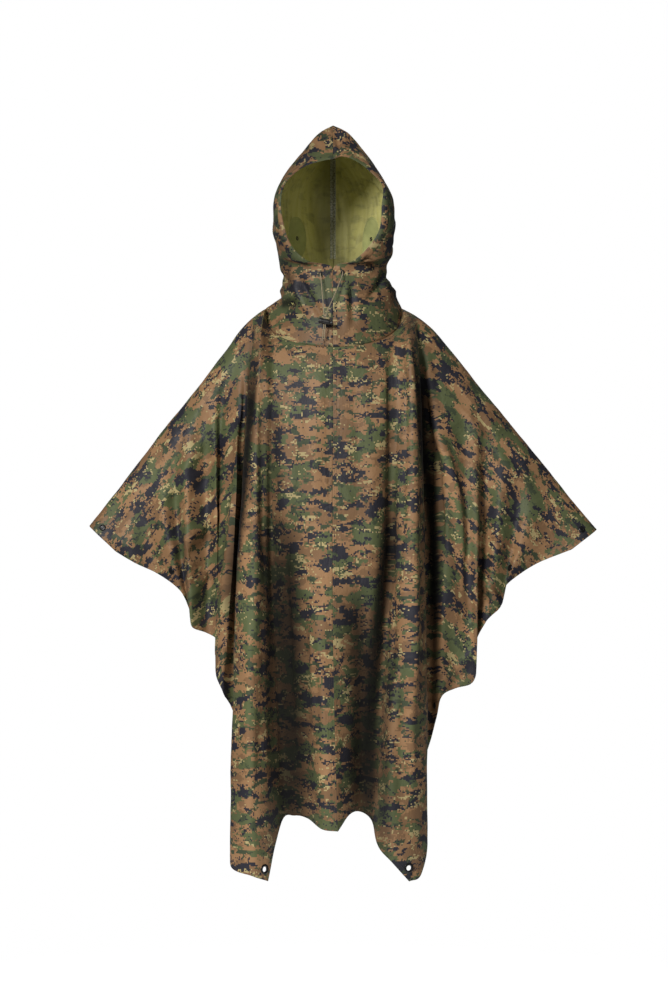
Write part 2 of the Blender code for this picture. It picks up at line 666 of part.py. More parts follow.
def drill(name, place, normal, radius, target):
    """Cut a round hole through the cloth of the target."""
    side = normal.orthogonal().normalized()
    across = normal.cross(side)
    points = []
    for height in (-CUTTER_REACH, CUTTER_REACH):
        for step in range(CUTTER_SIDES):
            angle = 2 * math.pi * step / CUTTER_SIDES
            spoke = side * math.cos(angle) + across * math.sin(angle)
            points.append(place + spoke * radius + normal * height)
    make_cut(name, points, target)


def add_grommet(name, surface, target, point, outward, sizes, material):
    """Metal ring through a hole in the cloth, with a lip on both faces."""
    hole, radius, lip, sides = sizes
    barrel = hole + RING_BARREL
    place, normal = surface.frame(point, outward)
    high, low = surface.heights(place, normal, radius)
    top, foot = high + SEAM_GAP, low - SEAM_GAP
    profile = ((hole, foot - lip), (radius - lip, foot - lip), (radius, foot),
               (barrel, foot), (barrel, top), (radius, top),
               (radius - lip, top + lip), (hole, top + lip))
    turned(name, profile, place, normal, sides, material, ring=True)
    drill(f"{name}_cutter", place, normal, barrel + SEAM_GAP * 2, target)


def add_snap(snap, sheet, surface, material):
    """Domed cap on the outer face of the cloth and the snap's socket under it."""
    point = Vector(sheet.point(snap.place, snap.level))
    outward = Vector((0.0, FACE_SIGN[snap.face], 0.0))
    place, normal = surface.frame(point, outward)
    high, low = surface.heights(place, normal, SNAP_RADIUS)
    top, foot = high + SEAM_GAP, low - SEAM_GAP
    radius, height = SNAP_RADIUS, SNAP_HEIGHT
    label = f"{snap.face}_{snap.side}_{snap.number}"
    dome = ((radius, top), (radius, top + height * .35), (radius * .65, top + height))
    turned(f"snap_cap_{label}", dome, place, normal, SNAP_SIDES, material)
    socket = ((radius * .50, foot - height), (radius * .65, foot - height * .5),
              (radius * .86, foot - height * .4), (radius * .86, foot))
    turned(f"snap_socket_{label}", socket, place, normal, SNAP_SIDES, material)


def hood_patch(side, surface, material):
    """Oval reinforcement with a small hole, on the inner face of the hood behind the ear."""
    sections = [section[1:] for section in HOODS[side]]
    points, quads = [], []
    for share in PATCH_RINGS:
        for step in range(PATCH_SPOKES):
            angle = 2 * math.pi * step / PATCH_SPOKES
            place = PATCH_MIDDLE[0] + PATCH_REACH[0] * share * math.sin(angle)
            turn = PATCH_MIDDLE[1] + PATCH_REACH[1] * share * math.cos(angle)
            point = Vector(hood_point(side, through(sections, place), turn))
            inward = (Vector((0.0, HEAD_MIDDLE_Y, point.z)) - point).normalized()
            start, reach = PATCH_RAY
            hit, normal, _, _ = surface.tree.ray_cast(point + inward * start, -inward, reach)
            points.append(np.array(hit + normal * SEAM_GAP * 2))
    for ring in range(len(PATCH_RINGS) - 1):
        for step in range(PATCH_SPOKES):
            after = (step + 1) % PATCH_SPOKES
            low, high = ring * PATCH_SPOKES, (ring + 1) * PATCH_SPOKES
            quad = [low + step, low + after, high + after, high + step]
            if side == "right":
                quad.reverse()
            quads.append(tuple(quad))
    cloth_solid(f"hood_patch_{side}", points, quads, material, wall=PATCH_WALL)


def hood_tape(material):
    """Tape over the back seam, inside the hood, made from the cells beside the seam."""
    last_turn = hood_turns()[-2]
    levels = range(1, len(HOOD_LEFT) - 2)
    lift = WALL + 3 * SEAM_GAP
    rows = []
    for level in levels:
        left = np.array(HOOD_LEFT[level][1:])
        right = np.array(HOOD_RIGHT[level][1:])
        seam = hood_point("left", left, 1.0)
        seam[0] = 0.0
        edge_left = seam + (hood_point("left", left, last_turn) - seam) * TAPE_SHARE
        edge_right = seam + (hood_point("right", right, last_turn) - seam) * TAPE_SHARE
        rows.append((edge_left, seam, edge_right))
    points = [point for row in rows for point in row]
    quads = []
    for row in range(len(rows) - 1):
        for column in range(2):
            start = row * 3 + column
            quads.append((start, start + 1, start + 4, start + 3))
    normals = vertex_normals(np.array(points), quads)
    if normals[1][1] < 0:
        quads = [tuple(reversed(quad)) for quad in quads]
        normals = -normals
    for row in range(len(rows)):
        normals[row * 3 + 1] = seam_normal(normals[row * 3 + 1])
    points = [point - normal * lift for point, normal in zip(points, normals)]
    return cloth_solid("hood_seam_tape", points, quads, material, wall=TAPE_WALL)


# ---------------------------------------------------------------- drawcord
def smooth_route(route, spacing):
    """Points at an even spacing on a smooth curve through the route's own points."""
    fine = [through(route, step / 40) for step in range(40 * (len(route) - 1) + 1)]
    lengths = [0.0]
    for one, two in zip(fine, fine[1:]):
        lengths.append(lengths[-1] + float(np.linalg.norm(two - one)))
    count = max(int(lengths[-1] / spacing), 2)
    places = [lengths[-1] * step / count for step in range(count + 1)]
    return [np.array([np.interp(place, lengths, [point[axis] for point in fine])
                      for axis in range(3)]) for place in places]


def add_cord(name, route, material):
    curve = bpy.data.curves.new(name, "CURVE")
    curve.dimensions = "3D"
    curve.bevel_depth = CORD_DIAMETER / 2
    curve.bevel_resolution = 2
    curve.use_fill_caps = True
    points = smooth_route(route, CORD_SPACING)
    spline = curve.splines.new("POLY")
    spline.points.add(len(points) - 1)
    for target, point in zip(spline.points, points):
        target.co = (*point, 1.0)
    return add_object(name, curve, material)


def cord_lock(material):
    """Barrel with a rounded plunger, and a slot through it for both strands."""
    axis = Vector((math.cos(LOCK_TILT), 0.0, -math.sin(LOCK_TILT)))
    place = Vector(LOCK_PLACE)
    half, radius = LOCK_LENGTH / 2, LOCK_RADIUS
    rim = half - PLUNGER_RISE
    barrel = ((radius * NARROW, -half), (radius, -half + LOCK_EDGE), (radius, rim - LOCK_REVEAL),
              (radius * GROOVE, rim), (radius * NARROW, rim),
              (radius * NARROW, half - PLUNGER_EDGE), (radius * TIP, half))
    lock = turned("cord_lock", barrel, place, axis, LOCK_SIDES, material)
    half_length, half_width = LOCK_SLOT
    middle = place - axis * LOCK_SLOT_SHIFT
    points = []
    for height in (-CUTTER_REACH, CUTTER_REACH):
        for step in range(CUTTER_SIDES):
            angle = 2 * math.pi * step / CUTTER_SIDES
            points.append(middle + Vector((half_length * math.cos(angle),
                                           half_width * math.sin(angle), height)))
    make_cut("cord_slot_cutter", points, lock)


def make_cut(name, points, target):
    """Cut the prism between two rings of CUTTER_SIDES points out of the target."""
    sides = CUTTER_SIDES
    faces = [tuple(reversed(range(sides))), tuple(range(sides, 2 * sides))]
    for step in range(sides):
        after = (step + 1) % sides
        faces.append((step, after, sides + after, sides + step))
    cutter = add_mesh(name, points, faces, make_material(name, (0.5, 0.5, 0.5), 0.5))
    cutter.hide_render = True
    cutter.display_type = "WIRE"
    cut = target.modifiers.new(name, "BOOLEAN")
    cut.operation = "DIFFERENCE"
    cut.solver = "EXACT"
    cut.object = cutter


# ---------------------------------------------------------------- build
def build():
    clear_scene()
    body, hood = {}, {}
    body_surface, hood_surface = {}, {}
    for side in ("left", "right"):
        body_cloth = make_material(f"body_cloth_{side}", (0.16, 0.13, 0.08), 0.45)
        hood_cloth = make_material(f"hood_cloth_{side}", (0.15, 0.14, 0.08), 0.45)
        body[side] = body_panel(side, body_cloth)
        hood[side] = hood_half(side, hood_cloth)
        body_surface[side] = Surface(body[side])
        hood_surface[side] = Surface(hood[side])

    patch_cloth = make_material("patch_cloth", (0.18, 0.20, 0.05), 0.5)
    for side in ("left", "right"):
        hood_patch(side, hood_surface[side], patch_cloth)
    hood_tape(make_material("seam_tape", (0.22, 0.23, 0.14), 0.5))

    metal = make_material("black_metal", (0.02, 0.02, 0.02), 0.35, 0.9)
    for snap in SNAPS:
        add_snap(snap, Sheet(snap.side, snap.face), body_surface[snap.side], metal)
    for corner in CORNERS:
        point = Vector(Sheet(corner.side, corner.face).point(corner.place, corner.level))
        outward = Vector((0.0, FACE_SIGN[corner.face], 0.0))
        add_grommet(f"grommet_{corner.face}_{corner.side}", body_surface[corner.side],
                    body[corner.side], point, outward, GROMMET, metal)
    for side, (x, z) in EYELETS.items():
        add_grommet(f"throat_eyelet_{side}", hood_surface[side], hood[side],
                    Vector((x, THROAT_Y, z)), Vector((0.0, -1.0, 0.0)), EYELET, metal)

    cord = make_material("olive_cord", (0.20, 0.19, 0.12), 0.8)
    for side, route in STRANDS.items():
        x, z = EYELETS[side]
        start = [(x * share, y, z + rise) for share, y, rise in THROAT_ROUTE]
        add_cord(f"drawcord_{side}", start + list(route), cord)
    cord_lock(make_material("black_plastic", (0.015, 0.015, 0.015), 0.4))


build()
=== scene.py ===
"""Looks of the hooded rain poncho: thin creased cloth with a pixel camouflage print, its seams and
stitching, the fittings, the drawcord, and a plain studio. Metres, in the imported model's frame:
+Z up, the front faces -Y, and left and right are as seen from the front.
"""
import math
from collections import namedtuple

import bmesh
import bpy
import numpy as np
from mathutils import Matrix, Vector, noise
from mathutils.bvhtree import BVHTree
from mathutils.kdtree import KDTree


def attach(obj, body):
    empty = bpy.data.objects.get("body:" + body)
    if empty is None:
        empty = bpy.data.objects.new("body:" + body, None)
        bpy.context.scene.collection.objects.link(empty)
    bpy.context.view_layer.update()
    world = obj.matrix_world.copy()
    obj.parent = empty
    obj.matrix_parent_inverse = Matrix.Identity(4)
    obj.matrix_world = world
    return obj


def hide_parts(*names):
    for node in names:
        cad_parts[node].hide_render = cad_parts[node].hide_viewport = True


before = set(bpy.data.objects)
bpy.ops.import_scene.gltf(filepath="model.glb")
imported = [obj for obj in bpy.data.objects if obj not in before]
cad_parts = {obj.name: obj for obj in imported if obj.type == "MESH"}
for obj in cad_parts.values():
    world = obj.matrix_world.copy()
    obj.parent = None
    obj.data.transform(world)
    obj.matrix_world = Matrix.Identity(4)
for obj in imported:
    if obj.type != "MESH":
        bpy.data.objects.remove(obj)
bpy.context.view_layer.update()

# ---------------------------------------------------------------- driving sizes, in metres
CAMERA_PLACE = (0.0021, -5.83, -0.395)
CAMERA_LENS = 100.0                      # mm
CAMERA_FILM = 36.0                       # mm, the height of the frame
FLOOR_Z = -1.56
FLOOR_RADIUS = 3.0
FLOOR_GLOW = 0.80                        # lifts the pale floor towards the background
FLOOR_FADE = (0.40, 1.5)                 # the floor thins out into the background between these

THICKNESS = 0.0012                       # of the cloth as drawn, between its two faces
SEAM_GAP = 0.0003
SEAM_DRIFT = 0.010
HEM_WIDTH = 0.011                        # from a free edge to the hem's stitches
CHANNEL_WIDTH = 0.017                    # of the drawcord's channel round the face opening
SEAM_STITCH = 0.0032                     # from a seam to the row of stitches beside it

NECK_FRONT = 0.120
NECK_BACK = 0.095
NECK_TOP = 0.006
NECK_FRONT_DROP = 0.086
NECK_FRONT_ARC = 0.7
NECK_BACK_RISE = 0.024
NECK_LEAN = 0.9

SLEEVE_DEPTH = 0.046
CUFF_DEPTH = 0.030
SLEEVE_FALL = 0.060
SLEEVE_FALL_SHARE = 0.45
TOP_BULGE = 1.55
TOP_DROP = 0.75
BEND_SHARE = 0.985
NECK_KEYS = 6                            # fold lines 0 to 6 start at the neck seam

SIDES = ("left", "right")
FACES = ("front", "back")
SIDE_SIGN = {"left": -1.0, "right": 1.0}
FACE_SIGN = {"front": -1.0, "back": 1.0}

# ---------------------------------------------------------------- the cloth's large folds
# The same rows as in the part's source, one for each fold line from the centre seam outwards.
Fold = namedtuple("Fold", "name along fall chest_x chest_y hip_x hip_y end_x end_y end_z")
Hang = namedtuple("Hang", "along end_x end_y end_z bow_x bow_y")

FRONT_LEFT = (
    Fold("centre", 0, .180, .000, -.165, .000, -.170, -SEAM_DRIFT, -.158, -1.072),
    Fold("swell", 0, .180, .037, -.166, .028, -.170, .022, -.154, -1.068),
    Fold("hollow_lip", 0, .180, .080, -.158, .060, -.153, .050, -.116, -1.051),
    Fold("hollow_wall", 0, .172, .108, -.150, .094, -.149, .080, -.096, -1.047),
    Fold("hollow", 0, .165, .124, -.138, .122, -.116, .106, -.090, -1.060),
    Fold("tube_inner", 0, .160, .137, -.148, .140, -.152, .133, -.145, -1.175),
    Fold("tube_crown", 0, .155, .155, -.143, .163, -.176, .165, -.166, -1.162),
    Fold("tube_edge", .014, .140, .171, -.113, .1995, -.142, .2095, -.130, -1.146),
    Fold("tube_back", .026, .120, .170, -.082, .192, -.097, .200, -.095, -1.085),
    Fold("deep_fold", .037, .100, .167, -.058, .176, -.048, .180, -.050, -.965),
    Fold("wing_root", .050, .080, .180, -.052, .201, -.058, .2075, -.035, -.838),
)
WING_FRONT_LEFT = (
    Hang(.067, .2277, -.060, -.796, -.004, -.040),
    Hang(.098, .2434, -.055, -.761, .004, -.016),
    Hang(.131, .2457, -.032, -.724, .004, .006),
    Hang(.166, .2409, -.045, -.688, -.004, -.016),
    Hang(.207, .2635, -.038, -.672, -.004, .004),
    Hang(.255, .2931, -.070, -.657, .002, -.022),
    Hang(.310, .2990, -.045, -.623, .006, .000),
    Hang(.370, .3191, -.055, -.582, .004, -.016),
    Hang(.439, .3674, -.037, -.548, .000, -.002),
    Hang(.511, .4130, -.045, -.526, .000, -.008),
    Hang(.590, .4530, -.035, -.5025, .000, .000),
)
FRONT_RIGHT = (
    Fold("centre", 0, .180, .000, -.165, .000, -.170, SEAM_DRIFT, -.158, -1.072),
    Fold("slope", 0, .180, .040, -.165, .030, -.163, .034, -.128, -1.041),
    Fold("hollow", 0, .180, .082, -.159, .081, -.154, .056, -.092, -1.039),
    Fold("hollow_wall", 0, .172, .115, -.147, .107, -.124, .080, -.104, -1.057),
    Fold("pleat", 0, .165, .134, -.128, .121, -.144, .092, -.140, -1.104),
    Fold("tube_front", 0, .160, .148, -.142, .144, -.167, .121, -.154, -1.136),
    Fold("tube_crown", 0, .155, .163, -.136, .167, -.160, .156, -.142, -1.176),
    Fold("tube_edge", .014, .140, .178, -.107, .187, -.130, .180, -.120, -1.165),
    Fold("tube_side", .026, .120, .179, -.078, .192, -.092, .1945, -.085, -1.096),
    Fold("deep_fold", .038, .100, .173, -.055, .172, -.048, .170, -.046, -1.000),
    Fold("wing_root", .055, .080, .187, -.048, .203, -.040, .200, -.020, -.911),
)
WING_FRONT_RIGHT = (
    Hang(.080, .2152, -.050, -.846, .004, -.030),
    Hang(.107, .2264, -.060, -.802, .004, -.040),
    Hang(.137, .2549, -.050, -.787, .000, -.034),
    Hang(.173, .2889, -.060, -.775, -.004, -.014),
    Hang(.216, .2985, -.065, -.738, .002, -.020),
    Hang(.266, .2932, -.032, -.703, .000, .004),
    Hang(.323, .3185, -.060, -.647, .002, -.014),
    Hang(.382, .3495, -.050, -.6155, .002, .000),
    Hang(.451, .3566, -.055, -.5764, .006, -.012),
    Hang(.535, .4217, -.037, -.5296, .002, .000),
    Hang(.6205, .4985, -.035, -.4975, .000, .000),
)
BACK_LEFT = (
    Fold("centre", 0, .170, .000, .125, .000, .132, -.004, .118, -1.030),
    Fold("swell", 0, .170, .040, .126, .036, .130, .034, .098, -1.022),
    Fold("ridge", 0, .170, .080, .121, .076, .139, .070, .134, -1.030),
    Fold("hollow_wall", 0, .165, .105, .112, .103, .122, .098, .094, -1.040),
    Fold("hollow", 0, .160, .122, .103, .126, .086, .118, .066, -1.055),
    Fold("tube_inner", 0, .155, .137, .108, .140, .122, .142, .118, -1.130),
    Fold("tube_crown", 0, .150, .154, .104, .161, .139, .163, .130, -1.118),
    Fold("tube_edge", .014, .135, .168, .086, .187, .118, .190, .108, -1.095),
    Fold("tube_back", .026, .115, .169, .066, .187, .086, .188, .080, -1.030),
    Fold("deep_fold", .037, .095, .167, .050, .167, .045, .170, .042, -.940),
    Fold("wing_root", .050, .080, .179, .043, .194, .020, .203, .018, -.825),
)
WING_BACK_LEFT = (
    Hang(.067, .222, .035, -.785, .000, -.008),
    Hang(.098, .236, .055, -.748, .004, .004),
    Hang(.131, .238, .045, -.712, .004, .004),
    Hang(.166, .240, .020, -.678, -.004, -.010),
    Hang(.207, .257, .025, -.660, -.004, -.008),
    Hang(.255, .284, .055, -.642, .002, .008),
    Hang(.310, .293, .060, -.610, .004, .012),
    Hang(.370, .315, .040, -.573, .004, .004),
    Hang(.439, .360, .035, -.541, .000, .000),
    Hang(.511, .406, .040, -.519, .000, .000),
    Hang(.590, .449, .032, -.4985, .000, .000),
)
BACK_RIGHT = (
    Fold("centre", 0, .170, .000, .125, .000, .132, .004, .118, -1.030),
    Fold("slope", 0, .170, .038, .124, .040, .124, .045, .112, -1.036),
    Fold("hollow", 0, .170, .078, .118, .074, .108, .068, .084, -1.030),
    Fold("hollow_wall", 0, .165, .106, .114, .096, .122, .088, .112, -1.040),
    Fold("ridge", 0, .160, .124, .108, .116, .141, .106, .138, -1.070),
    Fold("tube_inner", 0, .155, .140, .100, .138, .132, .130, .134, -1.096),
    Fold("tube_crown", 0, .150, .157, .100, .160, .134, .154, .126, -1.134),
    Fold("tube_edge", .014, .135, .172, .084, .181, .110, .176, .104, -1.112),
    Fold("tube_back", .026, .115, .174, .066, .183, .084, .184, .074, -1.040),
    Fold("deep_fold", .038, .095, .172, .052, .165, .046, .166, .040, -.960),
    Fold("wing_root", .055, .080, .185, .043, .193, .018, .192, .016, -.880),
)
WING_BACK_RIGHT = (
    Hang(.080, .208, .030, -.825, .004, -.006),
    Hang(.107, .222, .022, -.785, .004, -.010),
    Hang(.137, .248, .034, -.768, .000, -.004),
    Hang(.173, .279, .058, -.755, -.004, .008),
    Hang(.216, .289, .050, -.720, .002, .010),
    Hang(.266, .288, .022, -.688, .000, -.008),
    Hang(.323, .310, .046, -.636, .002, .000),
    Hang(.382, .341, .052, -.603, .002, .008),
    Hang(.451, .352, .038, -.566, .006, .004),
    Hang(.535, .416, .034, -.523, .002, .000),
    Hang(.6205, .489, .032, -.491, .000, .000),
)
SHEETS = {
    ("left", "front"): (FRONT_LEFT, WING_FRONT_LEFT),
    ("right", "front"): (FRONT_RIGHT, WING_FRONT_RIGHT),
    ("left", "back"): (BACK_LEFT, WING_BACK_LEFT),
    ("right", "back"): (BACK_RIGHT, WING_BACK_RIGHT),
}
CORNER_KEY = {"left": 5, "right": 6}     # the fold line that ends on the cloth's lower corner
WING_KEY = 9                             # the deep fold between the body and the wing

Ridge = namedtuple("Ridge", "neck_x bend_x bend_z end_x end_z cuff_x cuff_z")
RIDGES = {
    "left": Ridge(.141, .182, -.015, .2135, -.068, .512, -.451),
    "right": Ridge(.145, .192, -.015, .229, -.059, .5535, -.457),
}

Section = namedtuple("Section", "name rim_x rim_y rim_z wide_x wide_y wide_z back_y back_z")
HOOD_LEFT = (
    Section("collar", .000, -.114, -.038, .1085, -.004, .025, .104, .058),
    Section("neck", .000, -.108, .020, .1075, -.020, .056, .112, .090),
    Section("throat", .000, -.106, .083, .113, -.040, .098, .125, .122),
    Section("chin", .051, -.112, .097, .1165, -.056, .124, .138, .152),
    Section("jaw", .084, -.117, .127, .1205, -.068, .155, .149, .182),
    Section("cheek", .099, -.121, .164, .1235, -.076, .187, .156, .212),
    Section("temple", .1065, -.124, .209, .1225, -.080, .226, .157, .246),
    Section("brow_side", .1010, -.127, .247, .1110, -.082, .260, .149, .282),
    Section("brow", .0795, -.129, .275, .0895, -.084, .294, .129, .316),
    Section("crown_low", .0520, -.131, .292, .0625, -.084, .327, .094, .345),
    Section("crown", .0240, -.132, .300, .0315, -.078, .3625, .044, .368),
    Section("top_seam", .000, -.132, .304, .000, -.062, .3820, -.010, .381),
)
HOOD_RIGHT = (
    Section("collar", .000, -.114, -.038, .137, -.004, .020, .104, .058),
    Section("neck", .000, -.108, .020, .123, -.020, .052, .112, .090),
    Section("throat", .000, -.106, .083, .111, -.040, .090, .125, .122),
    Section("chin", .042, -.112, .098, .1240, -.056, .117, .138, .152),
    Section("jaw", .074, -.117, .127, .1260, -.068, .152, .149, .182),
    Section("cheek", .096, -.121, .164, .1275, -.076, .187, .156, .212),
    Section("temple", .1000, -.124, .209, .1255, -.080, .226, .157, .246),
    Section("brow_side", .1015, -.127, .249, .1110, -.082, .260, .149, .282),
    Section("brow", .0790, -.129, .276, .0900, -.084, .294, .129, .316),
    Section("crown_low", .0510, -.131, .298, .0635, -.084, .327, .094, .345),
    Section("crown", .0230, -.132, .309, .0320, -.078, .3625, .044, .368),
    Section("top_seam", .000, -.132, .304, .000, -.062, .3820, -.010, .381),
)
HOODS = {"left": HOOD_LEFT, "right": HOOD_RIGHT}
HOOD_TAPER = 1.3
OPEN_SECTION = 3.0                       # above this row of the hood its front edges part

# ---------------------------------------------------------------- creases and shades
Mark = namedtuple("Mark", "name view part width strength points")


def marks(view, part, rows):
    """Marks placed on one part as seen in one view. Each row is a name, half the mark's
    width, its strength, and then each point's two places: x and z from the front or back, y and
    z from a side. Widths and places are in mm."""
    return [Mark(name, view, part, width, strength, np.reshape(places, (-1, 2)) / 1000)
            for name, width, strength, *places in rows]
